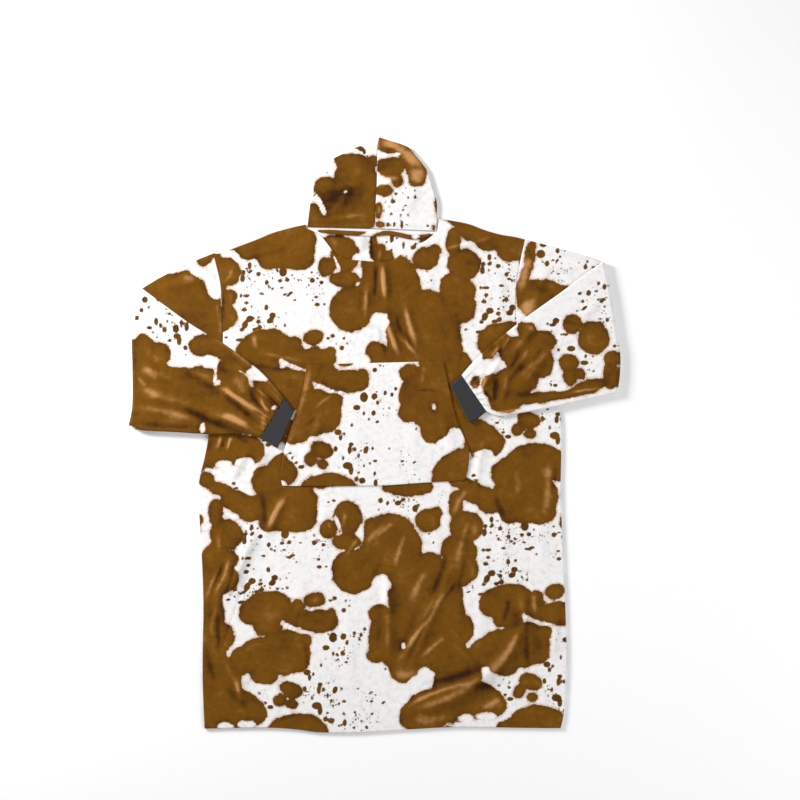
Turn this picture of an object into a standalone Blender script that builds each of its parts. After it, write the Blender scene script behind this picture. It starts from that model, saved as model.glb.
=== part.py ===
"""Oversized pullover hoodie in plush fleece, laid flat on its back with both forearms folded inwards.

Every piece that is cut and sewn is one object: a cloth wall worked out from the piece's own
outline, its layers and its folds. Sizes and tables are in millimetres, and the meshes in metres.
X runs to the right of the laid garment, Y from hem to hood, and Z up from the surface it lies on.
"""

import bmesh
import bpy
import numpy as np

MM = 0.001

# Cloth, seams and the air between layers
CLOTH = 3.0
SEAM = 0.3
RIB_CLOTH = 2.6
BODY_LOFT = 1.0
FRONT_BASE = CLOTH + SEAM
FRONT_TOP = FRONT_BASE + BODY_LOFT + CLOTH

# Sleeve tube: half its flat height, and the radius that its middle turns on at the fold
ARMHOLE_HALF = CLOTH + SEAM / 2
SLEEVE_HALF = 3.8
TURN_RADIUS = 4.4
TURN_CENTRE = SLEEVE_HALF + TURN_RADIUS
FOREARM_MIDDLE = TURN_CENTRE + TURN_RADIUS
CUFF_HALF = 4.2
HOOD_HALF = 4.6

# Grid counts
SIDE_STEPS = 15
ARMHOLE_STEPS = 15
SHOULDER_COLUMNS = 8
NECK_COLUMNS = 12
CURVE_SAMPLES = 400

# Body outline, hem corner to underarm, underarm to shoulder, and the two cross edges
LEFT_SIDE = [(-408, -704), (-412, -617), (-413, -530), (-411, -403), (-416, -266), (-423, -146),
             (-419, -100), (-408, -55), (-399, -5), (-398, 41)]
LEFT_ARMHOLE = [(-398, 41), (-387, 85), (-373, 150), (-365, 215), (-364, 258), (-366, 310),
                (-369, 359), (-377, 398), (-387, 436)]
RIGHT_SIDE = [(446, -703), (454, -660), (460, -553), (459, -467), (455, -360), (449, -231),
              (446, -124), (447, -60), (447, 20), (440, 89)]
RIGHT_ARMHOLE = [(440, 89), (390, 140), (354, 205), (341, 262), (338, 300), (338, 345),
                 (343, 387), (350, 425), (360, 469)]
HEM = [(-408, -704), (-315, -702), (-242, -702), (-187, -706), (-130, -713), (-58, -714),
       (-11, -712), (96, -705), (202, -700), (349, -702), (446, -703)]
LEFT_SHOULDER = [(-387, 436), (-370, 436), (-325, 453), (-280, 470), (-247, 484), (-205, 496),
                 (-166, 505)]
RIGHT_SHOULDER = [(154, 518), (180, 515), (225, 506), (262, 492), (300, 481), (335, 475),
                  (360, 469)]
FRONT_NECKLINE = [(-164.5, 496), (-148, 489), (-129, 478), (-112, 457), (-94, 434), (-74, 423),
                  (-40, 419), (0, 416), (30, 416), (52, 425), (72, 442), (92, 455), (120, 465),
                  (150, 489)]
LEFT_NAPE = [(-164.5, 498.6), (1, 494.6)]
RIGHT_NAPE = [(1, 494.6), (150, 488.5)]

# Sleeve rails between armhole, fold and cuff, listed from the armhole outwards
LEFT_ARM_TOP = [(-436, 416), (-477, 397), (-520, 375)]
LEFT_ARM_UNDER = [(-450, 33), (-520, 27)]
LEFT_FOLD = [(-566, 352), (-570, 325), (-576, 266), (-582, 226), (-581, 165), (-581, 74),
             (-590, 22)]
LEFT_FOREARM_TOP = [(-443, 268), (-362, 219), (-288, 165), (-251, 130)]
LEFT_FOREARM_UNDER = [(-561, 12), (-477, 7), (-396, 2), (-322, 1)]
LEFT_CUFF_SEAM = [(-216, 88), (-246, 41), (-275, -7)]
LEFT_CUFF_END = [(-193, 57), (-213, 13), (-233, -32)]
RIGHT_ARM_TOP = [(415, 455), (475, 438), (520, 425)]
RIGHT_ARM_UNDER = [(480, 93), (530, 97)]
RIGHT_FOLD = [(552, 414), (556, 391), (567, 336), (579, 260), (588.2, 202), (588.2, 150),
              (582, 100)]
RIGHT_FOREARM_TOP = [(493, 377), (446, 342), (345, 269), (248, 187)]
RIGHT_FOREARM_UNDER = [(480, 79), (420, 65), (345, 52), (296, 45)]
RIGHT_CUFF_SEAM = [(208, 144), (237, 101), (268, 56)]
RIGHT_CUFF_END = [(181, 118), (205, 72), (229, 27)]

# Hood: rim, crown, side fold and centre seam
LEFT_HOOD_RIM = [(-162, 499), (1, 495)]
RIGHT_HOOD_RIM = [(148, 489), (1, 495)]
HOOD_SEAM = [(1, 495), (2, 548), (5, 610), (6, 678), (11, 714.1)]
LEFT_CROWN = [(1, 709.5), (11, 713.8)]
RIGHT_CROWN = [(22, 710), (11, 713.8)]
LEFT_HOOD_SIDE = [(-158, 530), (-155, 553), (-150, 584), (-147, 612), (-143, 631), (-117, 652),
                  (-92, 667), (-37, 693)]
RIGHT_HOOD_SIDE = [(149, 530), (149, 558), (144, 576), (137, 600), (127, 631), (113, 652),
                   (97, 671), (77, 692)]

# Neck band: the middle of the rolled seam, its half width and half height
BAND_PATH = [(-136, 489.5), (-90, 486), (-34, 483), (0, 482), (31, 484.5), (60, 480), (83, 475),
             (110, 475.5), (136, 481)]
BAND_HALF_WIDTH = 5.5
BAND_END_HALF_WIDTH = 3.0
BAND_HALF_HEIGHT = 2.5

# Pocket outline
POCKET_TOP = [(-164, 168), (-80, 171), (0, 173), (80, 175), (165, 177)]
POCKET_BOTTOM = [(-222, -118), (-205, -122), (-32, -122), (22, -121), (122, -114), (205, -109),
                 (218, -104)]
POCKET_LEFT = [(-222, -118), (-226, -95), (-219, -48), (-207, -2), (-185, 67), (-171, 117),
               (-164, 168)]
POCKET_RIGHT = [(218, -104), (224, -78), (226, -36), (212, -1), (194, 44), (177, 117), (165, 177)]

# Folds: where each soft ridge starts, bends and ends, its half width and its height
FOLD_COLUMNS = ("start", "middle", "end", "half_width", "height")
FRONT_FOLDS = [
    ((17, 418), (23, 367), (29, 315), 11, 6.0),
    ((-21, 352), (-24, 322), (-26, 290), 9, 3.5),
    ((24, 300), (41, 236), (58, 184), 11, 5.0),
    ((70, 328), (85, 252), (104, 200), 11, 4.5),
    ((58, 246), (82, 216), (108, 186), 9, 3.0),
    ((170, 446), (238, 461), (304, 481), 9, 4.0),
    ((24, -330), (33, -430), (30, -545), 15, 6.0),
    ((157, -365), (104, -462), (56, -560), 14, 6.0),
    ((187, -300), (140, -430), (78, -566), 13, 4.5),
    ((60, -660), (250, -640), (352, -460), 18, 8.0),
    ((-283, -212), (-318, -305), (-368, -400), 15, 7.0),
    ((-346, -290), (-352, -335), (-360, -380), 12, 5.0),
    ((-372, -360), (-383, -410), (-380, -460), 12, 4.0),
    ((-318, -560), (-330, -612), (-322, -662), 14, 4.0),
    ((-300, -30), (-326, -66), (-346, -110), 11, 4.0),
    ((-258, -30), (-276, -66), (-300, -112), 11, 4.0),
    ((-222, -146), (-244, -196), (-262, -250), 14, 5.0),
    ((262, -10), (238, -70), (240, -140), 11, 4.5),
    ((344, -366), (362, -455), (376, -550), 16, 6.0),
    ((424, -430), (432, -480), (428, -530), 12, 4.0),
]
LEFT_SLEEVE_FOLDS = [
    ((-560, 205), (-440, 150), (-332, 112), 20, 4.0),
    ((-372, 124), (-318, 82), (-268, 36), 12, 5.0),
    ((-560, 165), (-520, 148), (-478, 132), 16, 4.5),
    ((-560, 110), (-470, 82), (-392, 60), 18, 4.0),
    ((-392, 52), (-336, 36), (-286, 12), 13, 5.0),
    ((-330, 172), (-302, 130), (-286, 96), 12, 4.5),
    ((-290, 120), (-262, 92), (-238, 62), 8, 4.0),
]
RIGHT_SLEEVE_FOLDS = [
    ((446, 226), (382, 180), (352, 110), 14, 5.0),
    ((394, 280), (352, 226), (318, 184), 13, 4.5),
    ((320, 236), (292, 206), (268, 178), 11, 4.0),
    ((318, 146), (310, 110), (300, 74), 10, 4.5),
    ((300, 180), (276, 142), (252, 108), 9, 5.0),
    ((262, 152), (250, 136), (236, 122), 8, 4.0),
    ((540, 324), (512, 300), (486, 276), 12, 3.0),
]
LEFT_ARM_FOLDS = [
    ((-520, 350), (-470, 366), (-410, 384), 16, 3.0),
    ((-540, 320), (-480, 300), (-410, 300), 18, 2.5),
]
RIGHT_ARM_FOLDS = [
    ((372, 300), (398, 350), (404, 410), 16, 3.0),
    ((520, 405), (470, 412), (420, 420), 14, 2.5),
]
LEFT_HOOD_FOLDS = [
    ((-130, 600), (-80, 590), (-30, 605), 16, 3.0),
    ((-110, 530), (-70, 560), (-60, 620), 15, 3.0),
]
RIGHT_HOOD_FOLDS = [
    ((14, 602), (46, 606), (72, 626), 10, 4.0),
    ((60, 530), (90, 560), (96, 610), 15, 3.0),
]
POCKET_FOLDS = [
    ((-182, -70), (-150, -20), (-130, 60), 16, 3.0),
    ((196, -60), (170, -10), (150, 60), 16, 3.0),
    ((60, 150), (64, 110), (60, 60), 14, 2.5),
]

# Cuff ribs
RIBS = 22
RIB_DEPTH = 0.35

PLUSH_COLOUR = (0.42, 0.24, 0.10, 1.0)
RIB_COLOUR = (0.040, 0.038, 0.045, 1.0)


def curve(points):
    """Catmull-Rom curve through the points, sampled at equal lengths."""
    knots = np.asarray(points, float)
    padded = np.vstack([2 * knots[0] - knots[1], knots, 2 * knots[-1] - knots[-2]])
    before, here, there, after = (padded[k:len(padded) - 3 + k, None] for k in range(4))
    t = np.linspace(0, 1, 40, endpoint=False)[None, :, None]
    fine = 0.5 * (2 * here + (there - before) * t
                  + (2 * before - 5 * here + 4 * there - after) * t ** 2
                  + (3 * here - before - 3 * there + after) * t ** 3)
    fine = np.vstack([fine.reshape(-1, knots.shape[1]), knots[-1:]])
    travelled = np.r_[0, np.cumsum(np.linalg.norm(np.diff(fine, axis=0), axis=1))]
    even = np.linspace(0, travelled[-1], CURVE_SAMPLES)
    return np.stack([np.interp(even, travelled, column) for column in fine.T], -1)


def along(line, fraction):
    """Points of a sampled curve at fractions of its length."""
    stations = np.linspace(0, 1, len(line))
    return np.stack([np.interp(fraction, stations, column) for column in line.T], -1)


def length_of(line):
    """Length of a sampled curve."""
    return np.linalg.norm(np.diff(line, axis=0), axis=1).sum()


def coons(start, end, first_rail, last_rail, across, forward):
    """Coons patch: the two edges and two rails blended, less the bilinear blend of the corners."""
    a = across[..., None]
    f = forward[..., None]
    edges = (1 - f) * along(start, across) + f * along(end, across)
    rails = (1 - a) * along(first_rail, forward) + a * along(last_rail, forward)
    corners = ((1 - f) * ((1 - a) * start[0] + a * start[-1])
               + f * ((1 - a) * end[0] + a * end[-1]))
    return edges + rails - corners


def smooth_step(value):
    """Rises softly from 0 to 1 as the value does."""
    held = np.clip(value, 0, 1)
    return held * held * (3 - 2 * held)


def fold_height(plan, folds):
    """Height of the ridges: each is a bell across a bent line, fading at both of its ends."""
    height = np.zeros(plan.shape[:-1])
    for row in folds:
        fold = dict(zip(FOLD_COLUMNS, row))
        start, middle, end = (np.asarray(fold[key], float) for key in ("start", "middle", "end"))
        t = np.linspace(0, 1, 25)
        line = (((1 - t) ** 2)[:, None] * start + (2 * t * (1 - t))[:, None] * middle
                + (t ** 2)[:, None] * end)
        distance = np.linalg.norm(plan[..., None, :] - line, axis=-1)
        nearest = t[distance.argmin(-1)]
        fade = smooth_step(nearest / 0.3) * smooth_step((1 - nearest) / 0.3)
        bell = np.exp(-(distance.min(-1) / fold["half_width"]) ** 2)
        height = np.maximum(height, fold["height"] * bell * (0.15 + 0.85 * fade))
    return height


def grid_faces(ids):
    """Quads of a grid of vertex numbers."""
    corners = np.stack([ids[:-1, :-1], ids[:-1, 1:], ids[1:, 1:], ids[1:, :-1]], -1)
    return corners.reshape(-1, 4).tolist()


def strip_faces(first, second):
    """Quads between two rows of vertex numbers."""
    return grid_faces(np.stack([first, second]))


def plush(name, colour, roughness):
    """Cloth material of one colour."""
    material = bpy.data.materials.new(name)
    material.use_nodes = True
    shader = material.node_tree.nodes["Principled BSDF"]
    shader.inputs["Base Color"].default_value = colour
    shader.inputs["Roughness"].default_value = roughness
    shader.inputs["Metallic"].default_value = 0.0
    return material


def add_piece(name, points, faces, material):
    """Makes one object of the points, in millimetres, with its faces turned outwards."""
    mesh = bpy.data.meshes.new(name)
    mesh.from_pydata((points * MM).tolist(), [], faces)
    shape = bmesh.new()
    shape.from_mesh(mesh)
    bmesh.ops.recalc_face_normals(shape, faces=shape.faces)
    shape.to_mesh(mesh)
    shape.free()
    mesh.shade_smooth()
    mesh.set_sharp_from_angle(angle=0.8)
    mesh.materials.append(material)
    piece = bpy.data.objects.new(name, mesh)
    collection.objects.link(piece)
    return piece


def wall(name, outer, inner, closed, material):
    """Cloth wall between an outer and an inner grid; a closed one joins its last column to its first."""
    rows, columns = outer.shape[:2]
    outer_ids = np.arange(rows * columns).reshape(rows, columns)
    inner_ids = outer_ids + rows * columns
    if closed:
        outer_ids = np.hstack([outer_ids, outer_ids[:, :1]])
        inner_ids = np.hstack([inner_ids, inner_ids[:, :1]])
    faces = grid_faces(outer_ids) + grid_faces(inner_ids)
    faces += strip_faces(outer_ids[0], inner_ids[0]) + strip_faces(outer_ids[-1], inner_ids[-1])
    if not closed:
        faces += strip_faces(outer_ids[:, 0], inner_ids[:, 0])
        faces += strip_faces(outer_ids[:, -1], inner_ids[:, -1])
    points = np.vstack([outer.reshape(-1, 3), inner.reshape(-1, 3)])
    return add_piece(name, points, faces, material)


def raise_to(plan, height):
    """Adds a height to points of the plan."""
    return np.dstack([plan, np.broadcast_to(height, plan.shape[:2])])


def top_stations(stretches):
    """Points along the top of a panel: each stretch of it is split evenly into its columns."""
    points = [curve(stretches[0][0])[:1]]
    for outline, columns in stretches:
        points.append(along(curve(outline), np.linspace(0, 1, columns + 1))[1:])
    return np.vstack(points)


def travelled_share(line):
    """Share of a line's length that each of its points has travelled."""
    travelled = np.r_[0, np.cumsum(np.linalg.norm(np.diff(line, axis=0), axis=1))]
    return travelled / travelled[-1]


def panel_grid(neck_stretches):
    """Points of a body panel in plan, from the hem up, and its loft from seam to middle."""
    top = top_stations([(LEFT_SHOULDER, SHOULDER_COLUMNS), *neck_stretches,
                        (RIGHT_SHOULDER, SHOULDER_COLUMNS)])
    left = side_points(LEFT_SIDE, LEFT_ARMHOLE)
    right = side_points(RIGHT_SIDE, RIGHT_ARMHOLE)
    across = travelled_share(top)
    forward = travelled_share(left)
    a = across[None, :, None]
    f = forward[:, None, None]
    hem_points = along(curve(HEM), across)[None]
    plan = ((1 - f) * hem_points + f * top[None] + (1 - a) * left[:, None] + a * right[:, None]
            - (1 - f) * ((1 - a) * left[0] + a * right[0])
            - f * ((1 - a) * left[-1] + a * right[-1]))
    rise = 1 - np.abs(2 * across - 1) ** 10
    climb = 1 - np.abs(2 * forward - 1) ** 14
    return plan, climb[:, None] * rise[None]


def side_points(side, armhole):
    """Edge of a panel from hem to shoulder, with the armhole's stations shared by the sleeve."""
    lower = along(curve(side), np.linspace(0, 1, SIDE_STEPS + 1))
    upper = along(curve(armhole), np.linspace(0, 1, ARMHOLE_STEPS + 1))
    return np.vstack([lower, upper[1:]])


def pocket_clearance(plan):
    """0 over the pocket, where the front lies flat, and 1 away from it."""
    middle = np.array([0, 27])
    reach = np.abs(plan - middle) / np.array([250, 175])
    return smooth_step((reach.max(-1) - 0.92) * 8)


def back_panel():
    """The back, flat on the surface below."""
    nape = [([LEFT_SHOULDER[-1], LEFT_NAPE[0]], 1), (LEFT_NAPE, NECK_COLUMNS // 2),
            (RIGHT_NAPE, NECK_COLUMNS // 2), ([RIGHT_NAPE[-1], RIGHT_SHOULDER[0]], 1)]
    plan, _ = panel_grid(nape)
    return wall("back_panel", raise_to(plan, CLOTH), raise_to(plan, 0), False, printed)


def front_panel():
    """The front, lying on the back, with its folds."""
    neck = [([LEFT_SHOULDER[-1], FRONT_NECKLINE[0]], 1), (FRONT_NECKLINE, NECK_COLUMNS),
            ([FRONT_NECKLINE[-1], RIGHT_SHOULDER[0]], 1)]
    plan, loft = panel_grid(neck)
    lift = FRONT_BASE + BODY_LOFT * loft + fold_height(plan, FRONT_FOLDS) * pocket_clearance(plan)
    return wall("front_panel", raise_to(plan, lift + CLOTH), raise_to(plan, lift), False, printed)


def pocket():
    """The pocket, on the flat middle of the front."""
    columns, rows = 18, 12
    across, forward = np.meshgrid(np.linspace(0, 1, columns + 1), np.linspace(0, 1, rows + 1))
    plan = coons(curve(POCKET_BOTTOM), curve(POCKET_TOP), curve(POCKET_LEFT), curve(POCKET_RIGHT),
                 across, forward)
    opening = smooth_step(forward / 0.3) * smooth_step((1 - forward) / 0.12)
    gape = 0.8 * opening * np.abs(2 * across - 1) ** 3
    lift = FRONT_TOP + SEAM + gape + fold_height(plan, POCKET_FOLDS)
    return wall("pocket", raise_to(plan, lift + CLOTH), raise_to(plan, lift), False, printed)


def edge_fractions(lengths, half, inset, steps):
    """Places across a flat tube, as fractions: close together round each edge, even between them."""
    step = 1 / steps
    caps = (0.35 * step, 0.6 * step, 0.85 * step) if inset else (0, 0.3 * step, 0.6 * step)
    turn = [np.minimum((inset + part * half) / lengths, cap) for part, cap in zip((0, 0.3, 1), caps)]
    near = np.stack(turn, -1)
    middle = np.broadcast_to(np.linspace(0, 1, steps + 1)[1:-1], (len(lengths), steps - 1))
    return np.hstack([near, middle, 1 - near[:, ::-1]])


def edge_profile(steps):
    """Height across a flat tube, as a share of its half height."""
    turn = np.array([0, 0.71, 1])
    return np.r_[turn, np.ones(steps - 1), turn[::-1]]


def flat_tube(stations, folds, thickness, steps):
    """Outer and inner rings of a flattened tube.

    A station holds a function from fractions to points of the plan, its length, its half height,
    the height of its middle, its normal, the share of the folds that it has, and which of its
    two sides carries them.
    """
    rings = []
    for inset in (0, thickness):
        layers = []
        for place, length, half, middle, normal, share, top_side in stations:
            inner_half = half - inset
            fraction = edge_fractions(np.array([length]), inner_half, inset, steps)[0]
            plan = place(fraction)
            shape = edge_profile(steps) * inner_half
            ridge = fold_height(plan[:, :2], folds) * share * edge_profile(steps)
            base = np.column_stack([plan[:, :2], plan[:, 2] + middle])
            sides = []
            for sign in (1, -1):
                side = base + sign * shape[:, None] * normal
                side[:, 2] += ridge * (sign == top_side)
                sides.append(side)
            layers.append(np.vstack([sides[0], sides[1][-2:0:-1]]))
        rings.append(np.array(layers))
    return rings


def sleeve(name, side, armhole, arm_top, arm_under, fold_edge, forearm_top, forearm_under,
           cuff_seam, arm_folds, forearm_folds):
    """A sleeve: the upper arm lies flat, turns over at the fold, and the forearm lies back on it."""
    outward = np.array([side, 0.0])
    hole = curve(armhole)[::-1] + outward * (SEAM + 0.1)
    turn_line = curve(fold_edge) - outward * (TURN_RADIUS + SLEEVE_HALF)
    seam_line = curve(cuff_seam)
    arm_rails = [curve([hole[0], *arm_top, turn_line[0]]),
                 curve([hole[-1], *arm_under, turn_line[-1]])]
    forearm_rails = [curve([turn_line[0], *forearm_top, seam_line[0]]),
                     curve([turn_line[-1], *forearm_under, seam_line[-1]])]
    up = np.array([0, 0, 1.0])
    across_out = np.array([side, 0, 0])

    def patch(start, end, rails, t):
        def place(fraction):
            plan = coons(start, end, *rails, fraction, np.full_like(fraction, t))
            return np.column_stack([plan, np.zeros(len(plan))])
        return place

    def bend(angle):
        shift = TURN_RADIUS * np.sin(angle) * outward

        def place(fraction):
            plan = along(turn_line, fraction) + shift
            return np.column_stack([plan, np.zeros(len(plan))])
        return place

    arm, turn, forearm = [], [], []
    for t in (0, 0.12, 0.34, 0.56, 0.78, 1):
        half = ARMHOLE_HALF + (SLEEVE_HALF - ARMHOLE_HALF) * smooth_step(t / 0.5)
        share = smooth_step((1 - t) / 0.2) * smooth_step(t / 0.1)
        length = length_of(hole) * (1 - t) + length_of(turn_line) * t
        arm.append((patch(hole, turn_line, arm_rails, t), length, half, half, up, share, 1))
    for angle in np.radians([30, 60, 90, 120, 150]):
        middle = TURN_CENTRE - TURN_RADIUS * np.cos(angle)
        normal = up * np.cos(angle) - across_out * np.sin(angle)
        turn.append((bend(angle), length_of(turn_line), SLEEVE_HALF, middle, normal, 0, -1))
    for t in (0, 0.06, 0.16, 0.28, 0.4, 0.52, 0.63, 0.73, 0.82, 0.9, 0.96, 1):
        length = length_of(turn_line) * (1 - t) + length_of(seam_line) * t
        half = SLEEVE_HALF + (CUFF_HALF - SLEEVE_HALF) * smooth_step(t)
        share = smooth_step(t / 0.12) * (1 - 0.6 * smooth_step((t - 0.9) / 0.1))
        forearm.append((patch(turn_line, seam_line, forearm_rails, t), length, half,
                        FOREARM_MIDDLE, -up, share, -1))
    arm_rings = flat_tube(arm, arm_folds, CLOTH, ARMHOLE_STEPS)
    rest_rings = flat_tube(turn + forearm, forearm_folds, CLOTH, ARMHOLE_STEPS)
    outer, inner = (np.vstack(pair) for pair in zip(arm_rings, rest_rings))
    return wall(name, outer, inner, True, printed)


def cuff(name, seam, end):
    """A rib knit cuff: a flattened tube whose ribs are raised on its outer side."""
    seam_line = curve(seam)
    end_line = curve(end)
    drop = (end_line[len(end_line) // 2] - seam_line[len(seam_line) // 2])
    gap = drop / np.linalg.norm(drop) * SEAM
    steps = 2 * RIBS
    profile = edge_profile(steps)
    ribs = np.r_[0, 0, 0, np.where(np.arange(steps - 1) % 2, RIB_DEPTH, -RIB_DEPTH), 0, 0, 0]
    rings = []
    for inset in (0, RIB_CLOTH):
        layers = []
        for line in (seam_line + gap, end_line):
            half = CUFF_HALF - inset
            fraction = edge_fractions(np.array([length_of(line)]), half, inset, steps)[0]
            plan = along(line, fraction)
            height = profile * half + (0 if inset else ribs)
            upper = np.column_stack([plan, FOREARM_MIDDLE + height])
            lower = np.column_stack([plan, FOREARM_MIDDLE - height])
            layers.append(np.vstack([upper, lower[-2:0:-1]]))
        rings.append(np.array(layers))
    return wall(name, rings[0], rings[1], True, ribbed)


def hood_half(name, side, rim, crown, side_rail, folds):
    """Half a hood: a back layer, the fold at its side and a front layer, from rim to crown."""
    steps = 9
    seam = curve(HOOD_SEAM) + np.array([side, 0]) * SEAM / 2
    rim_line = curve(rim)
    rim_line = rim_line + (seam[0] - rim_line[-1]) * np.linspace(0, 1, len(rim_line))[:, None]
    crown_line = curve(crown)
    crown_line = crown_line + (seam[-1] - crown_line[-1])
    side_line = curve([rim_line[0], *side_rail, crown_line[0]])
    rings = []
    for inset in (0, CLOTH):
        layers = []
        for t in (0, 0.05, 0.14, 0.24, 0.34, 0.42, 0.5, 0.6, 0.7, 0.8, 0.88, 0.94, 0.98, 1):
            puff = np.sin(np.pi * t) ** 0.6 if 0 < t < 1 else 0
            half = ARMHOLE_HALF + (HOOD_HALF - ARMHOLE_HALF) * puff
            length = length_of(rim_line) * (1 - t) + length_of(crown_line) * t
            fraction = edge_fractions(np.array([length]), half - inset, inset, steps)[0]
            fraction = np.r_[fraction[:-3], 1]
            profile = edge_profile(steps)[:len(fraction)]
            plan = coons(rim_line, crown_line, side_line, seam, fraction,
                         np.full_like(fraction, t))
            rise = profile * (half - inset)
            ridge = fold_height(plan, folds) * profile * puff
            lower = np.column_stack([plan, half - rise])
            upper = np.column_stack([plan, half + rise + ridge])
            layers.append(np.vstack([lower[::-1], upper[1:]]))
        rings.append(np.array(layers))
    return wall(name, rings[0], rings[1], False, printed)


def neck_band():
    """The rolled seam below the hood: a flat round roll along the back of the neck."""
    stations, sides = 20, 10
    fraction = np.linspace(0, 1, stations)
    middle = along(curve(BAND_PATH), fraction)
    heading = np.gradient(middle, axis=0)
    heading /= np.linalg.norm(heading, axis=1)[:, None]
    sideways = np.column_stack([-heading[:, 1], heading[:, 0]])
    swell = smooth_step(np.minimum(fraction, 1 - fraction) / 0.15)
    half_width = BAND_END_HALF_WIDTH + (BAND_HALF_WIDTH - BAND_END_HALF_WIDTH) * swell
    turn = np.linspace(0, 2 * np.pi, sides, endpoint=False)
    plan = middle[:, None] + sideways[:, None] * (half_width[:, None] * np.cos(turn))[..., None]
    height = FRONT_BASE + BAND_HALF_HEIGHT * (1 + np.sin(turn))
    points = np.dstack([plan, np.broadcast_to(height, plan.shape[:2])])
    ids = np.arange(stations * sides).reshape(stations, sides)
    faces = grid_faces(np.hstack([ids, ids[:, :1]]))
    faces += [ids[0].tolist(), ids[-1].tolist()]
    return add_piece("neck_band", points.reshape(-1, 3), faces, printed)


for old in list(bpy.data.objects):
    bpy.data.objects.remove(old)

collection = bpy.data.collections.new("Hoodie")
bpy.context.scene.collection.children.link(collection)
printed = plush("printed plush fleece", PLUSH_COLOUR, 0.85)
ribbed = plush("rib knit", RIB_COLOUR, 0.9)

back_panel()
front_panel()
pocket()
sleeve("sleeve_left", -1, LEFT_ARMHOLE, LEFT_ARM_TOP, LEFT_ARM_UNDER, LEFT_FOLD,
       LEFT_FOREARM_TOP, LEFT_FOREARM_UNDER, LEFT_CUFF_SEAM, LEFT_ARM_FOLDS, LEFT_SLEEVE_FOLDS)
sleeve("sleeve_right", 1, RIGHT_ARMHOLE, RIGHT_ARM_TOP, RIGHT_ARM_UNDER, RIGHT_FOLD,
       RIGHT_FOREARM_TOP, RIGHT_FOREARM_UNDER, RIGHT_CUFF_SEAM, RIGHT_ARM_FOLDS,
       RIGHT_SLEEVE_FOLDS)
cuff("cuff_left", LEFT_CUFF_SEAM, LEFT_CUFF_END)
cuff("cuff_right", RIGHT_CUFF_SEAM, RIGHT_CUFF_END)
hood_half("hood_left", -1, LEFT_HOOD_RIM, LEFT_CROWN, LEFT_HOOD_SIDE, LEFT_HOOD_FOLDS)
hood_half("hood_right", 1, RIGHT_HOOD_RIM, RIGHT_CROWN, RIGHT_HOOD_SIDE, RIGHT_HOOD_FOLDS)
neck_band()
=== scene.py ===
"""Looks of the oversized plush hoodie: fine cloth shells on its solids, cowhide print, seams and light.

Tables are in millimetres, in the frame of the solids: X to the right of the laid garment, Y from
hem to hood, Z up from the surface that it lies on. Meshes are in metres.
"""

import bpy
import mathutils
import numpy as np
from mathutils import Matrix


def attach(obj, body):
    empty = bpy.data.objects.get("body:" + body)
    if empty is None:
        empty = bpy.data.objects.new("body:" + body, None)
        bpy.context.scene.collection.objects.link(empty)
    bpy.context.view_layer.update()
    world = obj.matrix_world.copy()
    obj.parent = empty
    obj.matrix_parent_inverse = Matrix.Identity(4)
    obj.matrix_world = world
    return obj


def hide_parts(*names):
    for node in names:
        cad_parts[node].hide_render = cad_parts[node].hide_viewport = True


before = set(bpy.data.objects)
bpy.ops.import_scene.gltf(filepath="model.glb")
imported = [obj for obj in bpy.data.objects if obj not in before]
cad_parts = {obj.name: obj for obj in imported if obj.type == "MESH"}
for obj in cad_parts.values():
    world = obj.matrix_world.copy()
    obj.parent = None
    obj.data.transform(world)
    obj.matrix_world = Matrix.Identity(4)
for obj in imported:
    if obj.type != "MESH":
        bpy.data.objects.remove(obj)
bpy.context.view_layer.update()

MM = 0.001

# Cloth, seams and layers, as the solids have them
CLOTH = 3.0
RIB_CLOTH = 2.6
SEAM = 0.3
BODY_LOFT = 1.0
FRONT_BASE = CLOTH + SEAM
FRONT_TOP = FRONT_BASE + BODY_LOFT + CLOTH
ARMHOLE_HALF = CLOTH + SEAM / 2
SLEEVE_HALF = 3.8
TURN_RADIUS = 4.4
TURN_CENTRE = SLEEVE_HALF + TURN_RADIUS
FOREARM_MIDDLE = TURN_CENTRE + TURN_RADIUS
CUFF_HALF = 4.2
HOOD_HALF = 4.6

# Body outline
LEFT_SIDE = [(-408, -704), (-412, -617), (-413, -530), (-411, -403), (-416, -266), (-423, -146),
             (-419, -100), (-408, -55), (-399, -5), (-398, 41)]
LEFT_ARMHOLE = [(-398, 41), (-387, 85), (-373, 150), (-365, 215), (-364, 258), (-366, 310),
                (-369, 359), (-377, 398), (-387, 436)]
RIGHT_SIDE = [(446, -703), (454, -660), (460, -553), (459, -467), (455, -360), (449, -231),
              (446, -124), (447, -60), (447, 20), (440, 89)]
RIGHT_ARMHOLE = [(440, 89), (390, 140), (354, 205), (341, 262), (338, 300), (338, 345),
                 (343, 387), (350, 425), (360, 469)]
HEM = [(-408, -704), (-315, -702), (-242, -702), (-187, -706), (-130, -713), (-58, -714),
       (-11, -712), (96, -705), (202, -700), (349, -702), (446, -703)]
LEFT_SHOULDER = [(-387, 436), (-370, 436), (-325, 453), (-280, 470), (-247, 484), (-205, 496),
                 (-166, 505)]
RIGHT_SHOULDER = [(154, 518), (180, 515), (225, 506), (262, 492), (300, 481), (335, 475),
                  (360, 469)]
FRONT_NECKLINE = [(-164.5, 496), (-148, 489), (-129, 478), (-112, 457), (-94, 434), (-74, 423),
                  (-40, 419), (0, 416), (30, 416), (52, 425), (72, 442), (92, 455), (120, 465),
                  (150, 489)]
LEFT_NAPE = [(-164.5, 498.6), (1, 494.6)]
RIGHT_NAPE = [(1, 494.6), (150, 488.5)]

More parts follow.
